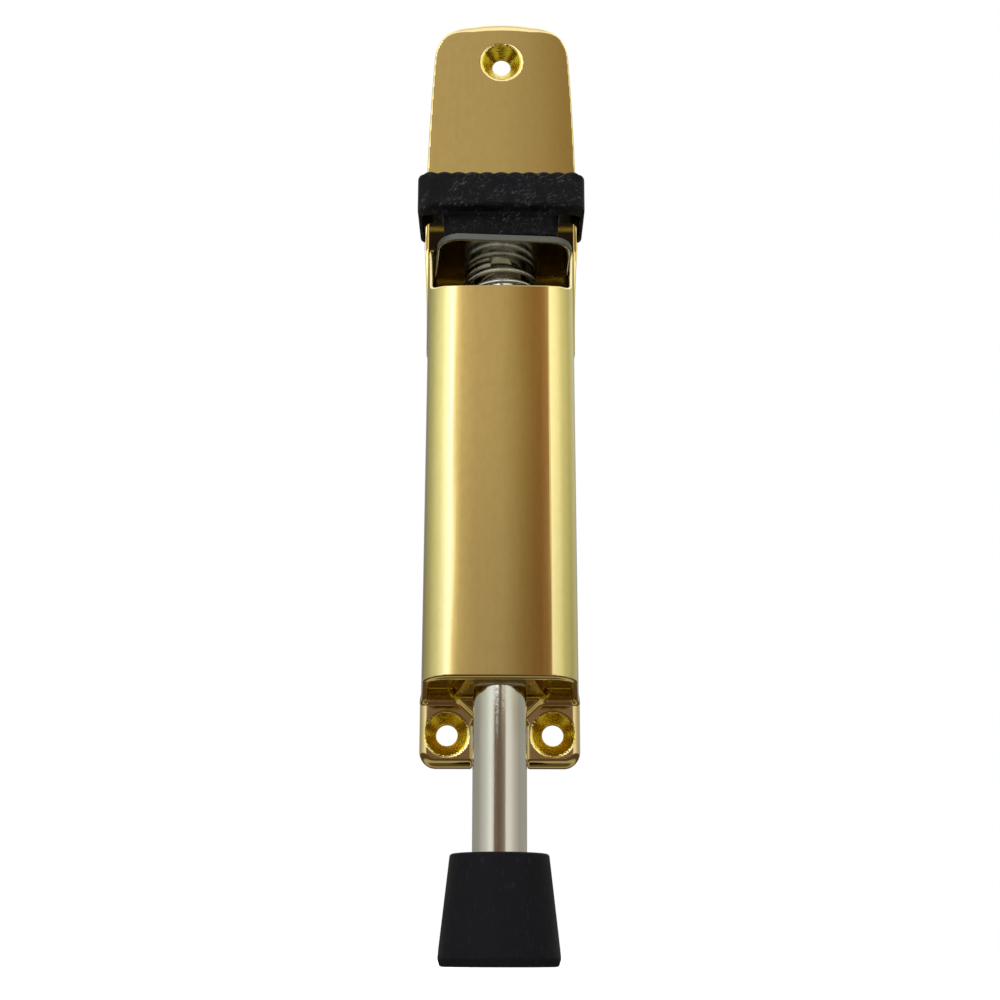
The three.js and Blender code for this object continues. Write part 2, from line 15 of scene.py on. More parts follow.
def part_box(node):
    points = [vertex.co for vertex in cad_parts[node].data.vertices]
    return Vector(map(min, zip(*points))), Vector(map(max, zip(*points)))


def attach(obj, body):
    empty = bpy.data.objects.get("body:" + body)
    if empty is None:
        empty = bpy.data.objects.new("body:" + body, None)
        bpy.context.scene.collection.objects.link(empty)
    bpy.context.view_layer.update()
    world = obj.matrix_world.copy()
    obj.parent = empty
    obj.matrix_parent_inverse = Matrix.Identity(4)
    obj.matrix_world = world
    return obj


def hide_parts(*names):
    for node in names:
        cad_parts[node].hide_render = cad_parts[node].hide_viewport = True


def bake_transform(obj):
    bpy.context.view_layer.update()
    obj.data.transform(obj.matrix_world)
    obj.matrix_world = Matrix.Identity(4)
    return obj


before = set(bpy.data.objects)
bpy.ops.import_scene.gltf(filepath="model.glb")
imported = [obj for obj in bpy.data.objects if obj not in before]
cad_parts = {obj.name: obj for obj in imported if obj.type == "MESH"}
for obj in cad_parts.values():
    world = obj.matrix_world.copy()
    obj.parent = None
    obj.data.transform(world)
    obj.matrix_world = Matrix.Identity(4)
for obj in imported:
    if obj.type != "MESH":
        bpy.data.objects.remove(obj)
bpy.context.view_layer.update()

MM = 0.001


def box_mm(node):
    low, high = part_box(node)
    return np.array(low) / MM, np.array(high) / MM


# Driving dimensions, read from the frame

ROD_LOW, ROD_HIGH = box_mm("rod")
CASTING_LOW, CASTING_HIGH = box_mm("body_casting")
TIP_LOW, TIP_HIGH = box_mm("rubber_tip")
PEDAL_LOW, PEDAL_HIGH = box_mm("pedal_cover")
CORE_LOW, CORE_HIGH = box_mm("pedal_core")
COLLAR_LOW, COLLAR_HIGH = box_mm("return_spring_collar")
BUSH_LOW, BUSH_HIGH = box_mm("lower_guide_bush")
UPPER_BUSH_LOW, UPPER_BUSH_HIGH = box_mm("upper_guide_bush")
COVER_LOW, COVER_HIGH = box_mm("rear_cover")

AXIS_Y = (ROD_LOW[1] + ROD_HIGH[1]) / 2
ROD_RADIUS = (ROD_HIGH[0] - ROD_LOW[0]) / 2

# The casting

FRONT_Y = CASTING_LOW[1]
BOW = 0.0015  # the front wall bows by this times x squared
CORNER_RADIUS = 6.0
REAR_HALF = 19.85
DRAFT = 0.0542  # the side walls lean in by this for each millimetre towards the front
TAPER = 0.0002
TAPER_FROM = 30.0
WALL = 1.6
CHEEK_WALL = 1.1
HOUSING_TOP = 99.5
CHEEK_FOOT = (-28.5, 99.5)  # the cheeks' edge runs from here, as (y, z), ...
CHEEK_RUN_OUT = (-4.6, 120.2)  # ... to here
FOOT_REAR = (-5.3, -1.6)
FOOT_FRONT = (-32.5, 0.3)
LOWER_WALL = (2.3, 7.0)
UPPER_WALL = (87.0, 92.0)
REAR_OPENING = {"half": 18.25, "seat": -2.9, "bottom": 2.3, "top": 91.7}
TONGUE_THICKNESS = 4.0
TONGUE_TOP = CASTING_HIGH[2]
FLANGE = {"thickness": 5.3, "half": 20.05, "bottom": CASTING_LOW[2], "top": 2.3, "corner": 4.0}
NOTCH = {"half": 6.8, "top": -5.0, "corner": 3.0}
BOSS = {"rear": 11.5, "front": 8.3, "underside": 0.0}
GUSSET = {"bottom": -10.8, "front": -6.3}
LUG = {"half": 6.0, "front": -9.0, "bottom": 105.9, "top": 108.4}
EAR_HOLE = {"x": 13.25, "z": -9.4, "radius": 2.7, "sink": 5.4}
TONGUE_HOLE = {"x": 0.0, "z": 177.1, "radius": 2.5, "sink": 5.45}
BORE = {"mouth": 7.0, "wall": 7.9}
COVER_SCREW_Z = (4.8, 89.3)
COVER_BORE = {"radius": 1.4, "end": -9.6, "clearance": 1.5}

# Where the casting is left unpolished, and the painted shade behind the pedal: there the unpolished tone
# also serves as painted shade, with a near-black patch of painted shade inside that, left lighter along
# one line as a painted glint

SKIN_AND_SHADE_TOP = 137.0
SKIN_AND_SHADE_FADE = 5.0
PAINTED_SHADE_PATCH = {"half": 19.5, "bottom": 119.0, "painted_glint": 126.8, "top": 134.0}

# The moving parts

BUSH = {"outer": 7.6, "flange": 9.5, "flange_thickness": 1.0, "lip": 6.9, "lip_top": 1.9}
TIP = {"head": 11.75, "chamfer": 1.7, "recess": 7.0, "recess_top": -58.0, "rod_seat": -50.0, "screw": 2.3}
RELEASE = {
    "thickness": 2.0, "half": 16.85, "front": 18.0, "rear": 14.0, "hole": 7.0, "corner": 5.6,
    "tilt": math.radians(9), "yaw": math.radians(4.5), "z": 105.5,
}
SHEARED_EDGE = 0.16  # how far in from the plate's outline its sheared edge reaches
LOCK_SPRING = {"radius": 8.7, "wire": 1.2, "turns": 4.4, "end": math.radians(249), "closed": 1.0}
RETURN_SPRING = {"radius": 7.9, "wire": 1.3, "turns": 13.0, "end": 0.0, "closed": 0.8}
CLOSED_GAP = 0.3  # between the turns that lie closed at a spring's ends

# The camera

CAMERA_PLACE = (-0.0001, -0.4235, -0.0613)
CAMERA_PITCH = math.radians(15)
CAMERA_ROLL = math.radians(0.15)
CAMERA_LENS = 60.48


# Distance fields: joins and cuts with rounded edges


def both(a, b, radius=0.0):
    """The part that is inside a and inside b, with an outer edge of that radius."""
    u = np.maximum(a + radius, 0)
    v = np.maximum(b + radius, 0)
    return np.minimum(np.maximum(a, b), -radius) + np.hypot(u, v)


def either(a, b, radius=0.0):
    """The part that is inside a or inside b, with an inner corner of that radius."""
    return -both(-a, -b, radius)


def less(a, b, radius=0.0):
    return both(a, -b, radius)


def span(value, low, high):
    return np.maximum(low - value, value - high)


def line_side(u, v, start, end):
    """Distance from the line through two points, positive on its left."""
    du, dv = end[0] - start[0], end[1] - start[1]
    return ((v - start[1]) * du - (u - start[0]) * dv) / math.hypot(du, dv)


def rounded_rectangle(u, v, half_u, half_v, corner):
    a = np.abs(u) - half_u + corner
    b = np.abs(v) - half_v + corner
    return np.hypot(np.maximum(a, 0), np.maximum(b, 0)) + np.minimum(np.maximum(a, b), 0) - corner


def bezier(points, steps):
    """Points along a Bezier curve, its last point left out."""
    t = np.linspace(0, 1, steps, endpoint=False)[:, None]
    rows = [np.array(p, float)[None, :] * np.ones_like(t) for p in points]
    while len(rows) > 1:
        rows = [a + (b - a) * t for a, b in zip(rows, rows[1:])]
    return rows[0]


def outline_field(x, z, outline):
    """Distance from an outline that is the same on both sides of x = 0 and widens or narrows with z."""
    u = np.abs(x)
    nearest = np.full(np.broadcast(x, z).shape, np.inf)
    for (ax, az), (bx, bz) in zip(outline, outline[1:]):
        length = (bx - ax) ** 2 + (bz - az) ** 2
        t = np.clip(((u - ax) * (bx - ax) + (z - az) * (bz - az)) / length, 0, 1)
        nearest = np.minimum(nearest, np.hypot(u - ax - t * (bx - ax), z - az - t * (bz - az)))
    half = np.interp(z, outline[:, 1], outline[:, 0])
    within = (u < half) & (z > outline[0, 1]) & (z < outline[-1, 1])
    return np.where(within, -nearest, nearest)


# Meshing a field


def steps(*stretches):
    """Grid stations from stretches of (start, end, pitch)."""
    stations = [
        np.linspace(a, b, max(1, round((b - a) / pitch)), endpoint=False) for a, b, pitch in stretches
    ]
    return np.concatenate([*stations, [stretches[-1][1]]])


def crossings(field, cells, axes):
    """The mean of the points where the surface crosses each cell's edges."""
    total = np.zeros((len(cells), 3))
    count = np.zeros(len(cells))
    for axis in range(3):
        step = np.eye(3, dtype=int)[axis]
        u, v = np.eye(3, dtype=int)[[(axis + 1) % 3, (axis + 2) % 3]]
        for corner in (0 * u, u, v, u + v):
            low = cells + corner
            high = low + step
            f0 = field[tuple(low.T)]
            f1 = field[tuple(high.T)]
            hit = (f0 < 0) != (f1 < 0)
            point = np.stack([axes[k][low[:, k]] for k in range(3)], 1)
            share = np.where(hit, f0 / np.where(hit, f0 - f1, 1), 0)
            point[:, axis] += share * (axes[axis][high[:, axis]] - axes[axis][low[:, axis]])
            total[hit] += point[hit]
            count[hit] += 1
    return total / count[:, None]


def surface_quads(inside, number):
    """One quad for each grid edge that the surface crosses, with its corners in the cells round it."""
    quads = []
    for axis in range(3):
        u, v = (axis + 1) % 3, (axis + 2) % 3
        cut = [slice(None)] * 3
        cut[u] = cut[v] = slice(1, -1)
        low, high = list(cut), list(cut)
        low[axis], high[axis] = slice(None, -1), slice(1, None)
        a, b = inside[tuple(low)], inside[tuple(high)]
        at = np.argwhere(a != b)
        leaving = a[tuple(at.T)]
        at[:, u] += 1
        at[:, v] += 1
        eu, ev = np.eye(3, dtype=int)[[u, v]]
        ring = [at - eu - ev, at - ev, at, at - eu]
        quad = np.stack([number[tuple(c.T)] for c in ring], 1)
        quads.append(np.where(leaving[:, None], quad, quad[:, ::-1]))
    return np.concatenate(quads)


def gradient(shape, points, reach=0.02):
    rows = []
    for axis in range(3):
        step = np.zeros(3)
        step[axis] = reach
        rows.append(shape(*(points + step).T) - shape(*(points - step).T))
    return np.stack(rows, 1) / (2 * reach)


def settle(shape, points, rounds=3):
    """Moves points onto the surface itself."""
    for _ in range(rounds):
        slope = gradient(shape, points)
        size = np.maximum((slope**2).sum(1), 0.2)
        move = shape(*points.T)[:, None] * slope / size[:, None]
        points = points - np.clip(move, -0.3, 0.3)
    return points


def field_mesh(name, shape, xs, ys, zs, place=Matrix.Identity(4), limit=None):
    """Meshes a field over a grid of stations, with normals taken from the field."""
    axes = (xs, ys, zs)
    field = shape(*np.meshgrid(*axes, indexing="ij"))
    inside = field < 0
    corners = sum(
        inside[i : i + len(xs) - 1, j : j + len(ys) - 1, k : k + len(zs) - 1].astype(np.int8)
        for i in (0, 1)
        for j in (0, 1)
        for k in (0, 1)
    )
    active = (corners > 0) & (corners < 8)
    cells = np.argwhere(active)
    number = np.full(active.shape, -1)
    number[active] = np.arange(len(cells))
    points = settle(shape, crossings(field, cells, axes))
    if limit is not None:
        points = np.clip(points, *limit)
    quads = surface_quads(inside, number)
    normals = gradient(shape, points)
    normals /= np.maximum(np.linalg.norm(normals, axis=1), 1e-6)[:, None]
    turn = np.array(place)[:3, :3]
    points = points @ turn.T + np.array(place)[:3, 3]
    mesh = bpy.data.meshes.new(name)
    mesh.from_pydata(points * MM, [], quads.tolist())
    mesh.polygons.foreach_set("use_smooth", np.ones(len(quads), bool))
    mesh.normals_split_custom_set_from_vertices((normals @ turn.T).tolist())
    return link(name, mesh)


def link(name, mesh):
    obj = bpy.data.objects.new(name, mesh)
    bpy.context.scene.collection.objects.link(obj)
    return obj


# Turned pieces and coils


def filleted(profile, radius, arc_steps=5):
    """A closed profile of [r, z] points with its corners rounded, except those on the axis."""
    points = [np.array(p, float) for p in profile]
    result = []
    for before, here, after in zip(points[-1:] + points[:-1], points, points[1:] + points[:1]):
        a, b = before - here, after - here
        size = min(radius, np.linalg.norm(a) / 2.1, np.linalg.norm(b) / 2.1)
        if here[0] < 1e-6:
            result.append(here[None, :])
            continue
        start = here + a / np.linalg.norm(a) * size
        end = here + b / np.linalg.norm(b) * size
        result.append(np.vstack([bezier([start, here, end], arc_steps), end[None, :]]))
    return np.vstack(result)


def turned(name, profile, radius=0.2, sides=96):
    """A solid of revolution about the plunger's axis, from a closed profile that runs up its outside."""
    loop = filleted(profile, radius)
    angle = np.linspace(0, 2 * math.pi, sides, endpoint=False)
    rings = np.stack(
        [
            loop[:, None, 0] * np.cos(angle),
            AXIS_Y + loop[:, None, 0] * np.sin(angle),
            loop[:, None, 1] + 0 * angle,
        ],
        2,
    )
    n = len(loop)
    i, j = np.meshgrid(np.arange(n), np.arange(sides), indexing="ij")

    def corner(a, b):
        return ((a % n) * sides + b % sides).ravel()

    quads = np.stack([corner(i, j), corner(i, j + 1), corner(i + 1, j + 1), corner(i + 1, j)], 1)
    mesh = bpy.data.meshes.new(name)
    mesh.from_pydata(rings.reshape(-1, 3) * MM, [], quads.tolist())
    return weld(link(name, mesh))


def weld(obj):
    """Merges the points that lie together, drops faces of no area and evens out the shading."""
    made = bmesh.new()
    made.from_mesh(obj.data)
    bmesh.ops.remove_doubles(made, verts=made.verts, dist=1e-7)
    bmesh.ops.dissolve_degenerate(made, edges=made.edges, dist=1e-8)
    bmesh.ops.recalc_face_normals(made, faces=made.faces)
    for face in made.faces:
        face.smooth = True
    made.to_mesh(obj.data)
    made.free()
    obj.modifiers.new("even_shading", "WEIGHTED_NORMAL").keep_sharp = True
    return obj


def rise_of(spring, length, t):
    """The share of its length that a spring with closed ends has risen, t of the way along its wire."""
    turns, closed = spring["turns"], spring["closed"]
    lie = spring["wire"] + CLOSED_GAP
    pitch = (length - 2 * closed * lie) / (turns - 2 * closed)
    turn = t * turns
    open_turns = np.clip(turn - closed, 0, turns - 2 * closed)
    shut_turns = np.minimum(turn, closed) + np.maximum(turn - turns + closed, 0)
    return (open_turns * pitch + shut_turns * lie) / length


def coil(name, spring, height_at, per_turn=48, sides=16):
    """A round wire wound about the plunger's axis. Its ends are rounded off."""
    turns = spring["turns"]
    count = round(abs(turns) * per_turn)
    t = np.linspace(0, 1, count + 1)
    angle = spring["end"] - 2 * math.pi * turns * (1 - t)
    flat = np.stack([spring["radius"] * np.cos(angle), spring["radius"] * np.sin(angle)], 1)
    line = np.column_stack([flat[:, 0], flat[:, 1] + AXIS_Y, height_at(t, flat[:, 0], flat[:, 1])])
    along = np.gradient(line, axis=0)
    along /= np.linalg.norm(along, axis=1)[:, None]
    outward = np.column_stack([flat / spring["radius"], np.zeros(len(t))])
    up = np.cross(along, outward)
    up /= np.linalg.norm(up, axis=1)[:, None]
    side = np.cross(up, along)
    wire = spring["wire"] / 2
    rings = []
    turn = np.linspace(0, 2 * math.pi, sides, endpoint=False)
    ends = [(0, 0.85, 0.5), (0, 0.5, 0.87)]
    order = [(0, -s, r) for _, s, r in ends] + [(i, 0, 1) for i in range(len(t))]
    order += [(len(t) - 1, s, r) for _, s, r in ends[::-1]]
    for i, shift, size in order:
        centre = line[i] + along[i] * shift * wire
        rings.append(
            centre
            + wire * size * (np.cos(turn)[:, None] * side[i] + np.sin(turn)[:, None] * up[i])
        )
    points = np.vstack(rings)
    quads = []
    for i in range(len(rings) - 1):
        for j in range(sides):
            k = (j + 1) % sides
            quads.append([i * sides + j, i * sides + k, (i + 1) * sides + k, (i + 1) * sides + j])
    last = (len(rings) - 1) * sides
    quads.append(list(range(sides)))
    quads.append([last + j for j in range(sides)])
    mesh = bpy.data.meshes.new(name)
    mesh.from_pydata(points * MM, [], quads)
    return weld(link(name, mesh))


# The casting's shape


def tongue_outline():
    foot = REAR_HALF * (1 + TAPER * (TAPER_FROM - REAR_OPENING["top"]))
    cheek = (20.6, 121.4)
    shoulder = (18.6, 177.0)
    curves = [
        bezier([(foot, REAR_OPENING["top"]), (foot, 107.5), cheek], 8),
        bezier([cheek, (20.3, 152.0), shoulder], 10),
        bezier([shoulder, (18.2, 185.5), (14.0, TONGUE_TOP - 0.2), (0, TONGUE_TOP)], 26),
        np.array([[0, TONGUE_TOP]]),
    ]
    return np.vstack(curves)


TONGUE = tongue_outline()


def housing_plan(x, y, z, inset):
    half = (REAR_HALF + DRAFT * y) * (1 + TAPER * (TAPER_FROM - z)) - inset
    side = np.abs(x) - half
    front = FRONT_Y + BOW * x**2 + inset - y
    return both(side, front, max(CORNER_RADIUS - inset, 1))


def countersunk(x, y, z, hole, face):
    across = np.hypot(np.abs(x) - hole["x"], z - hole["z"])
    cone = (across - hole["sink"] + (y - face)) * math.sqrt(0.5)
    return both(either(across - hole["radius"], cone, 0.15), face - 1 - y)


def housing(x, y, z):
    slope = line_side(y, z, CHEEK_FOOT, CHEEK_RUN_OUT)
    top = either(z - HOUSING_TOP, slope, 1.2)
    foot = line_side(-y, -z, (-FOOT_REAR[0], -FOOT_REAR[1]), (-FOOT_FRONT[0], -FOOT_FRONT[1]))
    outside = both(both(housing_plan(x, y, z, 0), top, 0.6), foot, 0.8)
    outside = both(outside, y, 0.3)
    inner = housing_plan(x, y, z, WALL)
    cavity = both(inner, span(z, LOWER_WALL[1], UPPER_WALL[0]), 2)
    above = both(housing_plan(x, y, z, CHEEK_WALL), UPPER_WALL[1] - z, 1.2)
    recess = both(above, y + TONGUE_THICKNESS, 1)
    boss_half = BOSS["rear"] + (y + FLANGE["thickness"]) * (BOSS["rear"] - BOSS["front"]) / 24.7
    pocket = both(both(inner, z - LOWER_WALL[0], 0.8), y + FLANGE["thickness"], 0.8)
    pocket = both(pocket, boss_half - np.abs(x), 0.8)
    under = both(both(inner, z - BOSS["underside"], 0.5), y + FLANGE["thickness"], 0.5)
    shell = less(less(outside, cavity, 0.4), recess, 0.4)
    return less(less(shell, pocket, 0.4), under, 0.4)


def plate(outline, y, thickness, edge):
    """A plate on the door's face, with that outline field and a rounded front edge."""
    return both(both(outline, -y - thickness, edge), y, 0.3)


def casting_shape(x, y, z):
    dome = np.clip((z - TONGUE_TOP + 8) / 5, 0, 1) * np.clip((17 - np.abs(x)) / 9, 0, 1)
    tongue = plate(outline_field(x, z, TONGUE), y, TONGUE_THICKNESS, 0.3 + 2.9 * dome)
    middle = (FLANGE["bottom"] + FLANGE["top"]) / 2
    tall = (FLANGE["top"] - FLANGE["bottom"]) / 2
    ears = rounded_rectangle(x, z - middle, FLANGE["half"], tall, FLANGE["corner"])
    flange = plate(ears, y, FLANGE["thickness"], 2.2)
    lean = math.hypot(BOSS["rear"], GUSSET["bottom"])
    wedge = (np.abs(x) * -GUSSET["bottom"] - (z - GUSSET["bottom"]) * BOSS["rear"]) / lean
    gusset = both(both(wedge, z - 1, 0.3), span(y, GUSSET["front"], -1), 0.6)
    lug = both(
        rounded_rectangle(x, y - (LUG["front"] - 1) / 2, LUG["half"], (-LUG["front"] - 1) / 2, 1),
        span(z, LUG["bottom"], LUG["top"]),
        0.5,
    )
    solid = either(housing(x, y, z), flange, 0.8)
    solid = either(either(solid, tongue, 0.6), either(gusset, lug, 0.0), 0.9)
    return opened(both(solid, y, 0.0), x, y, z)


def opened(solid, x, y, z):
    """The casting with its rear opening, notch, bores and screw holes cut."""
    rear = both(
        np.abs(x) - REAR_OPENING["half"],
        span(z, REAR_OPENING["bottom"], REAR_OPENING["top"]),
        2,
    )
    solid = less(solid, both(rear, REAR_OPENING["seat"] - y, 0.2), 0.3)
    notch = both(np.abs(x) - NOTCH["half"], z - NOTCH["top"], NOTCH["corner"])
    solid = less(solid, notch, 0.7)
    across = np.hypot(x, y - AXIS_Y)
    bore = either(both(across - BORE["wall"], 1.6 - z, 0.1), across - BORE["mouth"], 0.1)
    bore = both(bore, z - UPPER_WALL[1] - 4, 0)
    solid = less(solid, bore, 0.3)
    solid = less(solid, countersunk(x, y, z, EAR_HOLE, -FLANGE["thickness"]), 0.35)
    solid = less(solid, countersunk(x, y, z, TONGUE_HOLE, -TONGUE_THICKNESS), 0.35)
    for screw_z in COVER_SCREW_Z:
        hole = both(np.hypot(x, z - screw_z) - COVER_BORE["radius"], COVER_BORE["end"] - y, 0.1)
        solid = less(solid, hole, 0.2)
    return solid


def make_casting():
    fine = 0.42
    xs = steps((-21, -17.4, fine / 2), (-17.4, 17.4, fine), (17.4, 21, fine / 2))
    ys = steps((FRONT_Y - 1, -6.2, fine), (-6.2, -3, fine / 2), (-3, 0.8, fine))
    zs = steps(
        (FLANGE["bottom"] - 1, 9, fine),
        (9, 84, 2.5),
        (84, 134, fine),
        (134, 168, 1.6),
        (168, 185, fine),
        (185, TONGUE_TOP + 1, fine / 2),
    )
    obj = field_mesh("casting", casting_shape, xs, ys, zs, limit=(CASTING_LOW, CASTING_HIGH))
    mark_skin(obj)
    return keep(obj, "body", "polished_brass", "body_casting")


def points_mm(obj):
    places = np.zeros(len(obj.data.vertices) * 3)
    obj.data.vertices.foreach_get("co", places)
    return places.reshape(-1, 3) / MM


def store(obj, name, values):
    attribute = obj.data.attributes.new(name, "FLOAT", "POINT")
    attribute.data.foreach_set("value", values.astype(np.float32))


def mark_skin(obj):
    """Stores where the casting is left unpolished (1), where shade is painted on its face behind the pedal
    (the unpolished tone, then up to 2 for near-black), and where it is freshly machined.
    """
    x, y, z = points_mm(obj).T
    skin = housing_plan(x, y, z, 0)
    hidden = (skin < -0.75) & (y < -TONGUE_THICKNESS - 0.4) & (z > -1) & (z < CHEEK_RUN_OUT[1])
    front = y < FRONT_Y + 1.2
    value = np.where(hidden & ~front, 1.0, 0.0)
    on_face = (y < -TONGUE_THICKNESS + 0.3) & (y > -TONGUE_THICKNESS - 0.5)
    shaded = (np.abs(x) < PAINTED_SHADE_PATCH["half"]) & on_face
    # Painted shade: the unpolished tone is laid on the tongue's face under the pedal, fading out upwards,
    # to stand in for the pedal's shade.
    behind_pedal = np.clip((SKIN_AND_SHADE_TOP - z) / SKIN_AND_SHADE_FADE, 0, 1) * (z > UPPER_WALL[1])
    # Painted shade: near-black over a band of the tongue's face behind the pedal, left lighter along one
    # line as a painted glint.
    painted_shade = np.clip(0.7 + np.abs(z - PAINTED_SHADE_PATCH["painted_glint"]) / 3, 0, 1)
    painted_shade = np.where((z > PAINTED_SHADE_PATCH["bottom"]) & (z < PAINTED_SHADE_PATCH["top"]), painted_shade, 0)
    value = np.where(shaded, np.maximum(value, behind_pedal) + painted_shade, value)
    store(obj, "cast_skin_and_painted_shade", value)
    bare = np.zeros(len(x), np.float32)
    for hole, face in ((EAR_HOLE, -FLANGE["thickness"]), (TONGUE_HOLE, -TONGUE_THICKNESS)):
        across = np.hypot(np.abs(x) - hole["x"], z - hole["z"])
        bare[(across < hole["sink"] + 0.05) & (y > face + 0.12) & (y < -0.5)] = 1
    store(obj, "machined", bare)


# The other fixed pieces


def make_rear_cover():
    width, height = (COVER_HIGH - COVER_LOW)[[0, 2]] / 2
    middle = (COVER_LOW[2] + COVER_HIGH[2]) / 2

    def shape(x, y, z):
        sheet = rounded_rectangle(x, z - middle, width, height, 2)
        sheet = both(sheet, span(y, COVER_LOW[1], COVER_HIGH[1]), 0.25)
        for screw_z in COVER_SCREW_Z:
            sheet = less(sheet, np.hypot(x, z - screw_z) - COVER_BORE["clearance"], 0.15)
        return sheet

    xs = steps((-width - 1, -width + 2, 0.3), (-width + 2, width - 2, 0.6), (width - 2, width + 1, 0.3))
    ys = steps((COVER_LOW[1] - 0.4, COVER_HIGH[1] + 0.4, 0.2))
    zs = steps(
        (COVER_LOW[2] - 1, COVER_LOW[2] + 5, 0.3),
        (COVER_LOW[2] + 5, COVER_HIGH[2] - 5, 1.5),
        (COVER_HIGH[2] - 5, COVER_HIGH[2] + 1, 0.3),
    )
    obj = field_mesh("rear_sheet_cover", shape, xs, ys, zs)
    return keep(obj, "body", "zinc_steel", "rear_cover")


def cross_recess(u, v, depth, half_length, half_width, deep):
    """A cross-shaped driver recess; depth is measured down from the head's face."""
    bar = np.minimum(
        rounded_rectangle(u, v, half_length, half_width, half_width * 0.6),
        rounded_rectangle(u, v, half_width, half_length, half_width * 0.6),
    )
    return both(bar + 0.25 * np.maximum(depth, 0), depth - deep, 0.05)


def make_cover_screw(name, node, screw_z):
    low, high = box_mm(node)
    head_radius = (high[0] - low[0]) / 2
    under_head = high[1] - 1.1

    def shape(x, y, z):
        across = np.hypot(x, z - screw_z)
        head = both(across - head_radius, span(y, under_head, high[1]), 0.35)
        shank = both(across - 1.1, span(y, low[1], under_head + 0.2), 0.3)
        whole = either(head, shank, 0.05)
        return less(whole, cross_recess(x, z - screw_z, high[1] - y, 1.2, 0.3, 0.6), 0.05)

    across = steps((-head_radius - 0.3, head_radius + 0.3, 0.12))
    ys = steps((low[1] - 0.4, under_head - 0.5, 0.3), (under_head - 0.5, high[1] + 0.3, 0.1))
    obj = field_mesh(name, shape, across, ys, across + screw_z)
    return keep(obj, "body", "zinc_steel", node)


def make_lower_bush():
    inner = ROD_RADIUS + 0.04
    low, high = BUSH_LOW[2], BUSH_HIGH[2]
    step = high - BUSH["flange_thickness"]
    profile = [
        [inner, low], [BUSH["lip"], low], [BUSH["lip"], BUSH["lip_top"]], [BUSH["outer"], BUSH["lip_top"]],
        [BUSH["outer"], step], [BUSH["flange"], step], [BUSH["flange"], high], [inner, high],
    ]
    return keep(turned("lower_bush", profile, 0.12), "body", "nickel", "lower_guide_bush")


def make_upper_bush():
    low, high = UPPER_BUSH_LOW[2], UPPER_BUSH_HIGH[2]
    inner = ROD_RADIUS + 0.15
    step = high - BUSH["flange_thickness"]
    profile = [
        [inner, low], [BUSH["outer"], low], [BUSH["outer"], step],
        [BUSH["flange"], step], [BUSH["flange"], high], [inner, high],
    ]
    return keep(turned("upper_bush", profile, 0.15), "body", "nickel", "upper_guide_bush")


def make_washer(name, node, slot, body):
    low, high = box_mm(node)
    inner = ROD_RADIUS + 0.4
    outer = (high[0] - low[0]) / 2
    profile = [[inner, low[2]], [outer, low[2]], [outer, high[2]], [inner, high[2]]]
    return keep(turned(name, profile, 0.2), body, slot, node)


# The plunger


def make_rod():
    low, high = ROD_LOW[2], ROD_HIGH[2]
    profile = [[0, low], [ROD_RADIUS, low], [ROD_RADIUS, high], [0, high]]
    return keep(turned("plunger_rod", profile, 0.6, sides=128), "plunger", "nickel", "rod")


def make_collar():
    low, high = COLLAR_LOW[2], COLLAR_HIGH[2]
    inner, outer = ROD_RADIUS + 0.05, BUSH["flange"]
    profile = [[inner, low], [outer, low], [outer, high], [inner, high]]
    obj = turned("spring_collar", profile, 0.4)
    return keep(obj, "plunger", "zinc_steel", "return_spring_collar")


def make_cross_pin(name, node):
    """A spring pin along X: a rolled tube with a slit and bevelled ends."""
    low, high = box_mm(node)
    radius = (high[2] - low[2]) / 2
    middle_y, middle_z = (low[1] + high[1]) / 2, (low[2] + high[2]) / 2

    def shape(x, y, z):
        across = np.hypot(y - middle_y, z - middle_z)
        tube = both(across - radius, span(x, low[0], high[0]), 0.3)
        tube = less(tube, across - radius * 0.55, 0.1)
        slit = both(np.abs(z - middle_z) - 0.18, middle_y - y, 0.0)
        return less(tube, slit, 0.05)

    xs = steps(
        (low[0] - 0.4, low[0] + 1, 0.15),
        (low[0] + 1, high[0] - 1, 0.8),
        (high[0] - 1, high[0] + 0.4, 0.15),
    )
    across = steps((-radius - 0.3, radius + 0.3, 0.14))
    obj = field_mesh(name, shape, xs, across + middle_y, across + middle_z)
    return keep(obj, "plunger", "spring_steel", node)


def make_tip():
    bottom, top = TIP_LOW[2], TIP_HIGH[2]
    foot, head = (TIP_HIGH[0] - TIP_LOW[0]) / 2, TIP["head"]
    bore = ROD_RADIUS + 0.03
    profile = [
        [bore, top], [bore, TIP["rod_seat"]],
        [TIP["screw"], TIP["rod_seat"]], [TIP["screw"], TIP["recess_top"]],
        [TIP["recess"], TIP["recess_top"]], [TIP["recess"], bottom],
        [foot - 0.55, bottom], [foot, bottom + TIP["chamfer"]],
        [head, top - 0.35], [head - 0.4, top],
    ]
    obj = turned("floor_tip", profile, 0.5, sides=128)
    return keep(obj, "plunger", "black_rubber", "rubber_tip")


def make_tip_washer():
    low, high = box_mm("tip_washer")
    outer = (high[0] - low[0]) / 2
    inner = TIP["screw"]
    profile = [[inner, low[2]], [outer, low[2]], [outer, high[2]], [inner, high[2]]]
    obj = turned("tip_screw_washer", profile, 0.2)
    return keep(obj, "plunger", "zinc_steel", "tip_washer")


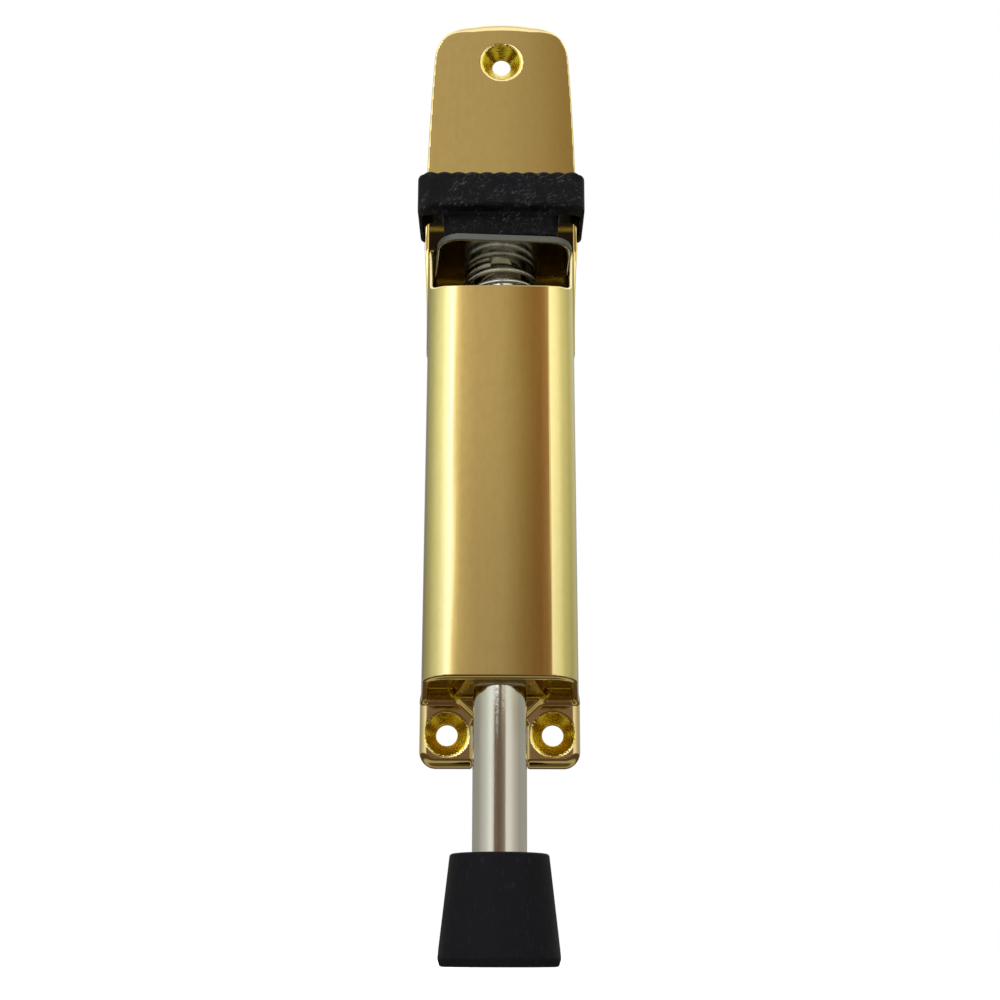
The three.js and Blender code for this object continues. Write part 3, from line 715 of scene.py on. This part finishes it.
def make_tip_screw():
    low, high = box_mm("tip_screw")
    head = (high[0] - low[0]) / 2
    seat = low[2] + 2.4

    def shape(x, y, z):
        across = np.hypot(x, y - AXIS_Y)
        dome = np.sqrt(across**2 + (z - low[2] - 5.2) ** 2) - 5.2
        cap = both(both(across - head, dome, 0.3), z - seat, 0.15)
        shank = both(across - 2, span(z, seat - 0.5, high[2]), 0.4)
        whole = either(cap, shank, 0.05)
        return less(whole, cross_recess(x, y - AXIS_Y, z - low[2], 2.2, 0.5, 1.4), 0.08)

    across = steps((-head - 0.4, head + 0.4, 0.18))
    zs = steps(
        (low[2] - 0.4, seat + 0.6, 0.15),
        (seat + 0.6, high[2] - 1, 0.8),
        (high[2] - 1, high[2] + 0.4, 0.2),
    )
    obj = field_mesh("tip_cross_screw", shape, across, across + AXIS_Y, zs)
    return keep(obj, "plunger", "zinc_steel", "tip_screw")


# The pedal

TREAD = {"pitch": 3.55, "row": 4.2, "height": 0.6, "run_out": 1.6}
PEDAL_BAR = {"rear": -15.0, "bottom": 118.5, "corner": 3.4, "rim": 1.2, "lip": 5.4}
PEDAL_BLOCK = {"half": 14.4, "front": -34.2, "rear": -5.0, "bottom": 111.6, "corner": 2.2}


def tread(x, y):
    """Height of the moulded tread: rows of low bumps, every second row moved by half a pitch."""
    row = np.floor((y - PEDAL_LOW[1]) / TREAD["row"])
    shift = np.where(row % 2 == 0, 0.0, 0.5)
    u = (x / TREAD["pitch"] + shift + 0.5) % 1 - 0.5
    v = ((y - PEDAL_LOW[1]) / TREAD["row"]) % 1 - 0.5
    bump = np.cos(math.pi * np.clip(u * 1.15, -0.5, 0.5)) ** 0.8
    fade = np.clip((20.6 - np.abs(x)) / TREAD["run_out"], 0, 1)
    return bump * np.cos(math.pi * np.clip(v, -0.5, 0.5)) ** 0.35 * fade


def pedal_shape(x, y, z):
    half = PEDAL_HIGH[0]
    front, rear = PEDAL_LOW[1], PEDAL_BAR["rear"]
    middle = (front + rear) / 2
    top = PEDAL_HIGH[2] - TREAD["height"] + TREAD["height"] * tread(x, y)
    plan = rounded_rectangle(x, y - middle, half, (rear - front) / 2, PEDAL_BAR["corner"])
    ceiling = (z - top) * 0.75
    arch = PEDAL_BAR["bottom"] - 0.5 - 1.0 * np.clip((np.abs(x) - 12) / 9, 0, 1) ** 2 - z
    bar = both(both(plan, ceiling, 0.45), arch, 0.8)
    block = rounded_rectangle(
        x, y - (PEDAL_BLOCK["front"] + PEDAL_BLOCK["rear"]) / 2, PEDAL_BLOCK["half"],
        (PEDAL_BLOCK["rear"] - PEDAL_BLOCK["front"]) / 2, PEDAL_BLOCK["corner"],
    )
    block = both(block, span(z, PEDAL_BLOCK["bottom"], PEDAL_HIGH[2] - 1.9), 0.6)
    whole = either(bar, block, 0.6)
    across = span(np.abs(x), PEDAL_BLOCK["half"] + 0.2, half - PEDAL_BAR["rim"])
    pocket = both(across, front + PEDAL_BAR["lip"] - y, 1.0)
    pocket = both(pocket, z - PEDAL_BAR["bottom"] - 5.1, 2.2)
    whole = less(whole, both(pocket, PEDAL_BAR["bottom"] - 6 - z, 0), 0.35)
    core = rounded_rectangle(
        x, y - (CORE_LOW[1] + CORE_HIGH[1]) / 2, CORE_HIGH[0] + 0.3,
        (CORE_HIGH[1] - CORE_LOW[1]) / 2 + 0.3, 1.8,
    )
    return less(whole, both(core, z - CORE_HIGH[2] - 0.3, 0.3), 0.3)


def make_pedal():
    fine = 0.3
    xs = steps((PEDAL_LOW[0] - 0.6, PEDAL_HIGH[0] + 0.6, fine))
    ys = steps(
        (PEDAL_LOW[1] - 0.6, PEDAL_BAR["rear"] + 0.6, fine),
        (PEDAL_BAR["rear"] + 0.6, PEDAL_BLOCK["rear"] + 0.6, 0.4),
    )
    zs = steps((PEDAL_LOW[2] - 0.6, PEDAL_HIGH[2] + 0.6, fine))
    obj = field_mesh("pedal_moulding", pedal_shape, xs, ys, zs)
    return keep(obj, "plunger", "black_moulding", "pedal_cover")


def make_pedal_core():
    def shape(x, y, z):
        middle = (CORE_LOW[1] + CORE_HIGH[1]) / 2
        depth = (CORE_HIGH[1] - CORE_LOW[1]) / 2
        body = rounded_rectangle(x, y - middle, CORE_HIGH[0], depth, 1.5)
        body = both(body, span(z, CORE_LOW[2], CORE_HIGH[2]), 0.4)
        socket = both(np.hypot(x, y - AXIS_Y) - ROD_RADIUS - 0.05, z - ROD_HIGH[2] - 0.3, 0.2)
        body = less(body, socket, 0.3)
        pin_low, pin_high = box_mm("pedal_pin")
        pin_z = (pin_low[2] + pin_high[2]) / 2
        return less(body, np.hypot(y - AXIS_Y, z - pin_z) - 1.7, 0.2)

    xs = steps((-12.6, 12.6, 0.45))
    ys = steps((CORE_LOW[1] - 0.6, CORE_HIGH[1] + 0.6, 0.45))
    zs = steps((CORE_LOW[2] - 0.6, CORE_HIGH[2] + 0.6, 0.4))
    return keep(field_mesh("pedal_die_block", shape, xs, ys, zs), "plunger", "zinc_steel", "pedal_core")


# The release plate and the springs


def release_place():
    place = Matrix.Translation((0, AXIS_Y, RELEASE["z"]))
    return place @ Matrix.Rotation(RELEASE["yaw"], 4, "Z") @ Matrix.Rotation(-RELEASE["tilt"], 4, "X")


def release_outline(u, v):
    middle = (RELEASE["rear"] - RELEASE["front"]) / 2
    depth = (RELEASE["rear"] + RELEASE["front"]) / 2
    return rounded_rectangle(u, v - middle, RELEASE["half"], depth, RELEASE["corner"])


def make_release_plate():
    def shape(x, y, z):
        sheet = both(release_outline(x, y), span(z, 0, RELEASE["thickness"]), 0.3)
        return less(sheet, np.hypot(x, y) - RELEASE["hole"], 0.2)

    xs = steps((-17.5, 17.5, 0.35))
    ys = steps((-18.6, 14.6, 0.35))
    zs = steps((-0.4, 2.4, 0.2))
    obj = field_mesh("release_lever_plate", shape, xs, ys, zs, release_place())
    place = np.array(release_place())
    u, v, _ = ((points_mm(obj) - place[:3, 3]) @ place[:3, :3]).T
    store(obj, "sheared", np.where(release_outline(u, v) > -SHEARED_EDGE, 1.0, 0.0))
    return keep(obj, "clutch", "stainless", "release_plate")


def spring_piece(obj, node):
    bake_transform(obj)
    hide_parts(node)
    obj.data.materials.append(MATERIALS["spring_steel"])
    return obj


def make_lock_spring():
    seat = box_mm("lock_spring_seat")[1][2]
    bottom = seat + 0.05 + LOCK_SPRING["wire"] / 2
    slope = math.tan(RELEASE["tilt"])
    under = RELEASE["z"] - 0.15 - LOCK_SPRING["wire"] / 2 / math.cos(RELEASE["tilt"])

    def height_at(t, x, y):
        back = -x * math.sin(RELEASE["yaw"]) + y * math.cos(RELEASE["yaw"])
        return bottom + (under - slope * back - bottom) * rise_of(LOCK_SPRING, under - bottom, t)

    obj = coil("lock_coil", LOCK_SPRING, height_at, per_turn=64)
    return spring_piece(obj, "lock_spring")


def make_return_spring():
    washer_top = box_mm("lower_spring_washer")[1][2]
    bottom = washer_top + 0.05 + RETURN_SPRING["wire"] / 2
    top = COLLAR_LOW[2] - 0.05 - RETURN_SPRING["wire"] / 2

    def height_at(t, x, y):
        return bottom + (top - bottom) * rise_of(RETURN_SPRING, top - bottom, t)

    obj = coil("return_coil", RETURN_SPRING, height_at, per_turn=36)
    return spring_piece(obj, "return_spring")


# Materials


class Graph:
    """A material's or world's node tree, with short calls for the nodes used here."""

    def __init__(self, tree):
        self.tree = tree
        tree.nodes.clear()

    def add(self, kind, inputs=None, **settings):
        node = self.tree.nodes.new(kind)
        for key, value in settings.items():
            setattr(node, key, value)
        for key, value in (inputs or {}).items():
            self.feed(node.inputs[key], value)
        return node

    def feed(self, socket, value):
        if isinstance(value, bpy.types.NodeSocket):
            self.tree.links.new(value, socket)
        else:
            socket.default_value = value

    def math(self, operation, a, b=0.0, c=0.0, clamp=False):
        node = self.add("ShaderNodeMath", operation=operation, use_clamp=clamp)
        for socket, value in zip(node.inputs, (a, b, c)):
            self.feed(socket, value)
        return node.outputs[0]

    def ramp(self, value, low, high, out_low=0.0, out_high=1.0, smooth=True):
        node = self.add(
            "ShaderNodeMapRange",
            {"Value": value, "From Min": low, "From Max": high, "To Min": out_low, "To Max": out_high},
            interpolation_type="SMOOTHSTEP" if smooth else "LINEAR",
        )
        return node.outputs[0]

    def mix(self, share, a, b, blend="MIX"):
        node = self.add("ShaderNodeMix", data_type="RGBA", blend_type=blend)
        self.feed(node.inputs[0], share)
        for socket, value in zip((node.inputs[6], node.inputs[7]), (a, b)):
            if not isinstance(value, bpy.types.NodeSocket):
                value = (*value[:3], 1)
            self.feed(socket, value)
        return node.outputs[2]

    def position(self, scale=(1, 1, 1)):
        """Object coordinates in millimetres, stretched by scale."""
        place = self.add("ShaderNodeTexCoord").outputs["Object"]
        factor = tuple(s / MM for s in scale)
        return self.add(
            "ShaderNodeVectorMath", {0: place, 1: factor}, operation="MULTIPLY"
        ).outputs[0]

    def noise(self, scale, stretch=(1, 1, 1), detail=3.0, roughness=0.55, distortion=0.0):
        """Noise from 0 to 1 whose blotches are about 1 / scale millimetres across."""
        node = self.add(
            "ShaderNodeTexNoise",
            {
                "Vector": self.position(stretch), "Scale": scale, "Detail": detail,
                "Roughness": roughness, "Distortion": distortion,
            },
        )
        return node.outputs["Fac"]

    def bump(self, height, distance, normal=None, strength=1.0):
        node = self.add(
            "ShaderNodeBump", {"Height": height, "Distance": distance, "Strength": strength}
        )
        if normal is not None:
            self.feed(node.inputs["Normal"], normal)
        return node.outputs[0]

    def surface(self, colour, roughness, normal, metallic=1.0, **uniform):
        shader = self.add("ShaderNodeBsdfPrincipled")
        if isinstance(colour, tuple):
            colour = (*colour, 1)
        self.feed(shader.inputs["Base Color"], colour)
        self.feed(shader.inputs["Roughness"], roughness)
        self.feed(shader.inputs["Normal"], normal)
        shader.inputs["Metallic"].default_value = metallic
        for key, value in uniform.items():
            shader.inputs[key.replace("_", " ")].default_value = value
        out = self.add("ShaderNodeOutputMaterial")
        self.tree.links.new(shader.outputs[0], out.inputs[0])


def new_material(name):
    material = bpy.data.materials.new(name)
    material.use_nodes = True
    return material, Graph(material.node_tree)


def hairs(g, angle, across, along, low, high):
    """Short fine scratches that run at an angle in the X-Z plane: 1 on a scratch, 0 off it."""
    turned_by = g.add(
        "ShaderNodeVectorRotate",
        {"Vector": g.position(), "Angle": math.radians(angle)},
        rotation_type="Y_AXIS",
    ).outputs[0]
    stretched = g.add(
        "ShaderNodeVectorMath", {0: turned_by, 1: (along, 0.3, across)}, operation="MULTIPLY"
    ).outputs[0]
    noise = g.add(
        "ShaderNodeTexNoise",
        {"Vector": stretched, "Scale": 1.0, "Detail": 2.0, "Roughness": 0.5, "Distortion": 0.3},
    )
    return g.ramp(noise.outputs["Fac"], low, high)


def polished_brass():
    material, g = new_material("polished_brass")
    skin_and_shade = g.add("ShaderNodeAttribute", attribute_name="cast_skin_and_painted_shade").outputs["Fac"]
    streaks = g.noise(0.9, (1, 1, 0.03), detail=4, roughness=0.6)
    cloud = g.noise(0.06, (1, 1, 0.4), detail=2)
    specks = g.add(
        "ShaderNodeTexVoronoi", {"Vector": g.position((1, 1, 0.28)), "Scale": 0.6}, feature="F1"
    ).outputs["Distance"]
    pits = g.ramp(specks, 0.04, 0.10, 1.0, 0.0)
    pit_zone = g.ramp(g.noise(0.09), 0.45, 0.6)
    pits = g.math("MULTIPLY", pits, pit_zone)
    tone = g.mix(cloud, (0.90, 0.735, 0.375), (0.925, 0.765, 0.395))
    mottle = g.ramp(g.noise(0.7, (1, 1, 0.5), detail=4), 0.35, 0.7, 0.0, 0.35)
    tone = g.mix(mottle, tone, (0.80, 0.66, 0.33))
    tone = g.mix(g.math("MULTIPLY", pits, 0.3), tone, (0.45, 0.32, 0.14))
    # Unpolished tone; on the face behind the pedal it also stands in as painted shade.
    tone = g.mix(skin_and_shade, tone, (0.58, 0.41, 0.045))
    bare = g.add("ShaderNodeAttribute", attribute_name="machined").outputs["Fac"]
    tone = g.mix(bare, tone, g.mix(g.noise(1.4, detail=3), (0.86, 0.56, 0.015), (1.0, 0.84, 0.10)))
    rough = g.ramp(streaks, 0.35, 0.75, 0.035, 0.06)
    # Painted shade: above 1 the tone is mixed to near-black, for the shade behind the pedal.
    painted_shade = g.math("SUBTRACT", skin_and_shade, 1.0, clamp=True)
    tone = g.mix(painted_shade, tone, (0.015, 0.009, 0.004))
    rough = g.math("ADD", rough, g.math("MULTIPLY", skin_and_shade, 0.16))
    rough = g.math("ADD", rough, g.math("MULTIPLY", bare, 0.10))
    normal = g.bump(g.noise(0.045, (1, 1, 0.35), detail=1), 0.00006)
    normal = g.bump(streaks, 0.0000006, normal)
    grain = g.math("MULTIPLY", g.noise(1.6, detail=3), skin_and_shade)
    normal = g.bump(grain, 0.00006, normal)
    chatter = g.math("MULTIPLY", g.noise(1.1, (1, 3, 1), detail=3), bare)
    normal = g.bump(chatter, 0.00009, normal)
    g.surface(tone, rough, normal)
    return material


def nickel():
    material, g = new_material("nickel_plate")
    stain = g.ramp(g.noise(0.16, (1, 1, 0.25), detail=4), 0.5, 0.8)
    tone = g.mix(stain, (0.72, 0.715, 0.665), (0.60, 0.55, 0.47))
    lines = g.noise(2.2, (1, 1, 0.05), detail=3)
    rough = g.ramp(lines, 0.3, 0.8, 0.05, 0.11)
    rough = g.math("ADD", rough, g.math("MULTIPLY", stain, 0.06))
    normal = g.bump(lines, 0.000001)
    normal = g.bump(g.noise(1.3, (1, 1, 0.45), detail=4, roughness=0.7), 0.000009, normal)
    g.surface(tone, rough, normal)
    return material


def stainless():
    material, g = new_material("stainless_plate")
    mill = g.noise(3.0, (1, 0.08, 1), detail=3)
    cloud = g.noise(0.12, detail=3)
    tone = g.mix(cloud, (0.48, 0.475, 0.45), (0.58, 0.57, 0.54))
    rough = g.ramp(mill, 0.3, 0.75, 0.08, 0.15)
    sheared = g.add("ShaderNodeAttribute", attribute_name="sheared").outputs["Fac"]
    tone = g.mix(sheared, tone, g.mix(g.noise(2.0, detail=3), (0.10, 0.10, 0.094), (0.18, 0.178, 0.168)))
    rough = g.math("ADD", rough, g.math("MULTIPLY", sheared, 0.38))
    normal = g.bump(mill, 0.000002)
    g.surface(tone, rough, normal)
    return material


def spring_steel():
    material, g = new_material("spring_steel")
    grain = g.noise(2.5, detail=4)
    tone = g.mix(grain, (0.86, 0.86, 0.84), (0.98, 0.98, 0.97))
    rough = g.ramp(grain, 0.3, 0.8, 0.26, 0.36)
    g.surface(tone, rough, g.bump(grain, 0.000003))
    return material


def zinc_steel():
    material, g = new_material("zinc_steel")
    spangle = g.add(
        "ShaderNodeTexVoronoi", {"Vector": g.position(), "Scale": 0.7}, feature="F1"
    ).outputs["Color"]
    shade = g.add("ShaderNodeSeparateColor", {"Color": spangle}).outputs[0]
    cloud = g.noise(0.1, detail=4)
    tone = g.mix(g.math("MULTIPLY", shade, 0.35), (0.46, 0.46, 0.45), (0.60, 0.60, 0.60))
    tone = g.mix(g.ramp(cloud, 0.55, 0.85, 0, 0.5), tone, (0.34, 0.335, 0.33))
    rough = g.ramp(cloud, 0.3, 0.8, 0.32, 0.5)
    normal = g.bump(g.noise(2.4, detail=4), 0.000012)
    g.surface(tone, rough, normal)
    return material


def black_moulding():
    material, g = new_material("black_moulding")
    marks = g.math("MAXIMUM", hairs(g, 33, 5.2, 0.75, 0.60, 0.72), hairs(g, 52, 4.6, 0.9, 0.62, 0.74))
    marks = g.math("MAXIMUM", marks, hairs(g, -20, 5.0, 1.2, 0.66, 0.76))
    marks = g.math("MULTIPLY", marks, g.ramp(g.noise(0.2, detail=3), 0.36, 0.62))
    dust = g.ramp(g.noise(3.0, detail=2), 0.60, 0.78)
    tone = g.mix(g.noise(0.2, detail=3), (0.0022, 0.0020, 0.0030), (0.0040, 0.0036, 0.0050))
    tone = g.mix(g.math("MULTIPLY", dust, 0.16), tone, (0.06, 0.06, 0.065))
    tone = g.mix(g.math("MULTIPLY", marks, 0.36), tone, (0.15, 0.15, 0.16))
    rough = g.ramp(g.noise(1.8, detail=3), 0.3, 0.75, 0.34, 0.5)
    normal = g.bump(g.noise(2.2, detail=4), 0.00004)
    normal = g.bump(marks, -0.00002, normal)
    g.surface(tone, rough, normal, metallic=0.0, IOR=1.5, Specular_IOR_Level=0.075)
    return material


def black_rubber():
    material, g = new_material("black_rubber")
    cloud = g.noise(0.12, (1, 1, 0.6), detail=4)
    bloom = g.ramp(g.noise(1.3, (1, 1, 0.25), detail=3), 0.55, 0.8)
    tone = g.mix(cloud, (0.0027, 0.0027, 0.0044), (0.0048, 0.0048, 0.0072))
    tone = g.mix(g.math("MULTIPLY", bloom, 0.2), tone, (0.03, 0.03, 0.034))
    rough = g.ramp(cloud, 0.3, 0.75, 0.42, 0.56)
    fine = g.noise(3.2, detail=4)
    normal = g.bump(fine, 0.00002)
    normal = g.bump(g.noise(0.25, detail=2), 0.00008, normal)
    g.surface(tone, rough, normal, metallic=0.0, IOR=1.5, Specular_IOR_Level=0.075)
    return material


MATERIALS = {
    "polished_brass": polished_brass(),
    "nickel": nickel(),
    "stainless": stainless(),
    "spring_steel": spring_steel(),
    "zinc_steel": zinc_steel(),
    "black_moulding": black_moulding(),
    "black_rubber": black_rubber(),
}


def keep(obj, body, slot, *nodes):
    """Gives a finished piece the material named by slot, hangs it under its body and hides the CAD nodes
    that it stands for.
    """
    obj.data.materials.append(MATERIALS[slot])
    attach(obj, body)
    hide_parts(*nodes)
    return obj


# Surroundings

# What lies round the room at eye height, as (degrees to the right of straight behind the viewer, colour)
FAR_WALL = [
    (-180, (0.30, 0.30, 0.27)),
    (-152, (0.237, 0.235, 0.20)),
    (-105, (0.424, 0.45, 0.31)),
    (-57, (0.82, 0.89, 0.665)),
    (-30, (1.25, 1.3, 1.25)),
    (-8, (1.9, 1.9, 1.9)),
    (-5.75, (1.75, 1.72, 1.7)),
    (-5.25, (0.80, 0.717, 0.43)),
    (-4.6, (0.56, 0.47, 0.29)),
    (-3.1, (0.454, 0.374, 0.238)),
    (0, (0.413, 0.345, 0.217)),
    (2.9, (0.266, 0.19, 0.085)),
    (4.7, (0.215, 0.118, 0.047)),
    (5.75, (0.31, 0.185, 0.085)),
    (6.6, (0.70, 0.59, 0.38)),
    (12, (1.15, 1.15, 1.0)),
    (30, (1.0, 1.05, 0.85)),
    (45, (0.92, 0.94, 0.72)),
    (67, (0.635, 0.66, 0.43)),
    (105, (0.454, 0.462, 0.31)),
    (141, (0.54, 0.57, 0.445)),
    (180, (0.35, 0.35, 0.31)),
]
# The same, below eye height, where the viewer and the table are
NEAR_WALL = [
    (-180, (0.31, 0.30, 0.28)),
    (-100, (0.39, 0.37, 0.31)),
    (-59, (0.70, 0.69, 0.62)),
    (-38, (1.0, 1.0, 0.92)),
    (-27, (0.75, 0.72, 0.62)),
    (-21, (0.22, 0.165, 0.11)),
    (-6, (0.16, 0.105, 0.073)),
    (10, (0.21, 0.155, 0.11)),
    (21, (0.33, 0.27, 0.21)),
    (28, (0.92, 0.86, 0.74)),
    (45, (0.85, 0.82, 0.76)),
    (64, (0.62, 0.56, 0.46)),
    (91, (0.40, 0.38, 0.33)),
    (128, (0.42, 0.41, 0.36)),
    (180, (0.33, 0.32, 0.29)),
]


def colour_round(g, azimuth, stops):
    """Colour by the compass direction, from stops that are blended in a row."""
    colour = stops[0][1]
    for (a, _), (b, tone) in zip(stops, stops[1:]):
        colour = g.mix(g.ramp(azimuth, a, b, smooth=False), colour, tone)
    return colour


def make_world():
    world = bpy.data.worlds.new("studio")
    bpy.context.scene.world = world
    world.use_nodes = True
    g = Graph(world.node_tree)
    direction = g.add("ShaderNodeTexCoord").outputs["Generated"]
    x, y, z = g.add("ShaderNodeSeparateXYZ", {0: direction}).outputs
    azimuth = g.math("DEGREES", g.math("ARCTAN2", x, g.math("MULTIPLY", y, -1.0)))
    height = g.math("DEGREES", g.math("ARCSINE", z))
    upper = colour_round(g, azimuth, FAR_WALL)
    level = g.ramp(height, 8.5, 21, 0.86, 1.12)
    level = g.math("MULTIPLY", level, g.ramp(height, 21, 25, 1.0, 0.93))
    grey = g.add("ShaderNodeCombineColor", {0: level, 1: level, 2: level}).outputs[0]
    upper = g.mix(1.0, upper, grey, "MULTIPLY")
    lower = colour_round(g, azimuth, NEAR_WALL)
    colour = g.mix(g.ramp(height, 8.2, 8.8), lower, upper)
    colour = g.mix(g.ramp(height, 35, 43), colour, (1.15, 1.14, 1.08))
    colour = g.mix(g.ramp(height, 70, 85), colour, (0.75, 0.75, 0.72))
    below = g.mix(g.ramp(height, -24, -38), (0.085, 0.055, 0.03), (0.40, 0.37, 0.24))
    below = g.mix(g.ramp(height, -48, -66), below, (0.10, 0.075, 0.03))
    colour = g.mix(g.ramp(height, 1.5, -5), colour, below)
    lit = g.add("ShaderNodeBackground", {"Color": colour, "Strength": 1.0})
    seen = g.add("ShaderNodeBackground", {"Color": (1, 1, 1, 1), "Strength": 1.0})
    is_camera = g.add("ShaderNodeLightPath").outputs["Is Camera Ray"]
    both_ways = g.add("ShaderNodeMixShader", {0: is_camera, 1: lit.outputs[0], 2: seen.outputs[0]})
    out = g.add("ShaderNodeOutputWorld")
    g.tree.links.new(both_ways.outputs[0], out.inputs[0])


def make_floor():
    """A pale floor that the rubber tip stands on."""
    half = 40.0
    z = TIP_LOW[2] * MM - 0.0001
    mesh = bpy.data.meshes.new("floor")
    corners = [(-half, -half, z), (half, -half, z), (half, half, z), (-half, half, z)]
    mesh.from_pydata(corners, [], [(0, 1, 2, 3)])
    floor = link("floor", mesh)
    material, g = new_material("pale_floor")
    tone = g.mix(g.noise(0.02, detail=3), (0.90, 0.90, 0.895), (0.93, 0.93, 0.925))
    normal = g.bump(g.noise(0.3), 0.00005)
    g.surface(tone, 0.75, normal, metallic=0.0, Emission_Color=(1, 1, 1, 1), Emission_Strength=0.3)
    mesh.materials.append(material)
    floor.visible_glossy = False  # reflections see the dark table edge below the horizon instead


def area_light(name, place, target, size, watts, colour=(1, 1, 1)):
    data = bpy.data.lights.new(name, "AREA")
    data.shape = "DISK"
    data.size = size
    data.energy = watts
    data.color = colour
    light = bpy.data.objects.new(name, data)
    light.location = place
    aim = Vector(target) - Vector(place)
    light.rotation_euler = aim.to_track_quat("-Z", "Y").to_euler()
    light.visible_glossy = False
    bpy.context.scene.collection.objects.link(light)


def make_lights():
    area_light("ceiling_light", (0.0, -0.2, 1.3), (0, 0, 0), 1.6, 22)
    area_light("left_light", (-0.7, -0.7, 0.5), (0, 0, 0.05), 0.5, 5, (1, 0.98, 0.95))


def make_camera():
    data = bpy.data.cameras.new("camera")
    data.lens = CAMERA_LENS
    data.sensor_width = 36
    camera = bpy.data.objects.new("camera", data)
    turn = Matrix.Rotation(math.pi / 2 + CAMERA_PITCH, 4, "X") @ Matrix.Rotation(CAMERA_ROLL, 4, "Z")
    camera.matrix_world = Matrix.Translation(CAMERA_PLACE) @ turn
    bpy.context.scene.collection.objects.link(camera)
    bpy.context.scene.camera = camera


make_camera()
make_world()
make_floor()
make_lights()
make_casting()
make_rear_cover()
make_cover_screw("lower_cross_screw", "cover_screw_lower", COVER_SCREW_Z[0])
make_cover_screw("upper_cross_screw", "cover_screw_upper", COVER_SCREW_Z[1])
make_lower_bush()
make_upper_bush()
make_washer("lower_washer", "lower_spring_washer", "zinc_steel", "body")
make_washer("lock_seat_washer", "lock_spring_seat", "zinc_steel", "body")
make_rod()
make_collar()
make_cross_pin("collar_roll_pin", "collar_pin")
make_cross_pin("pedal_roll_pin", "pedal_pin")
make_tip()
make_tip_washer()
make_tip_screw()
make_pedal_core()
make_pedal()
make_release_plate()
make_lock_spring()
make_return_spring()

bpy.context.scene.view_settings.view_transform = "Standard"
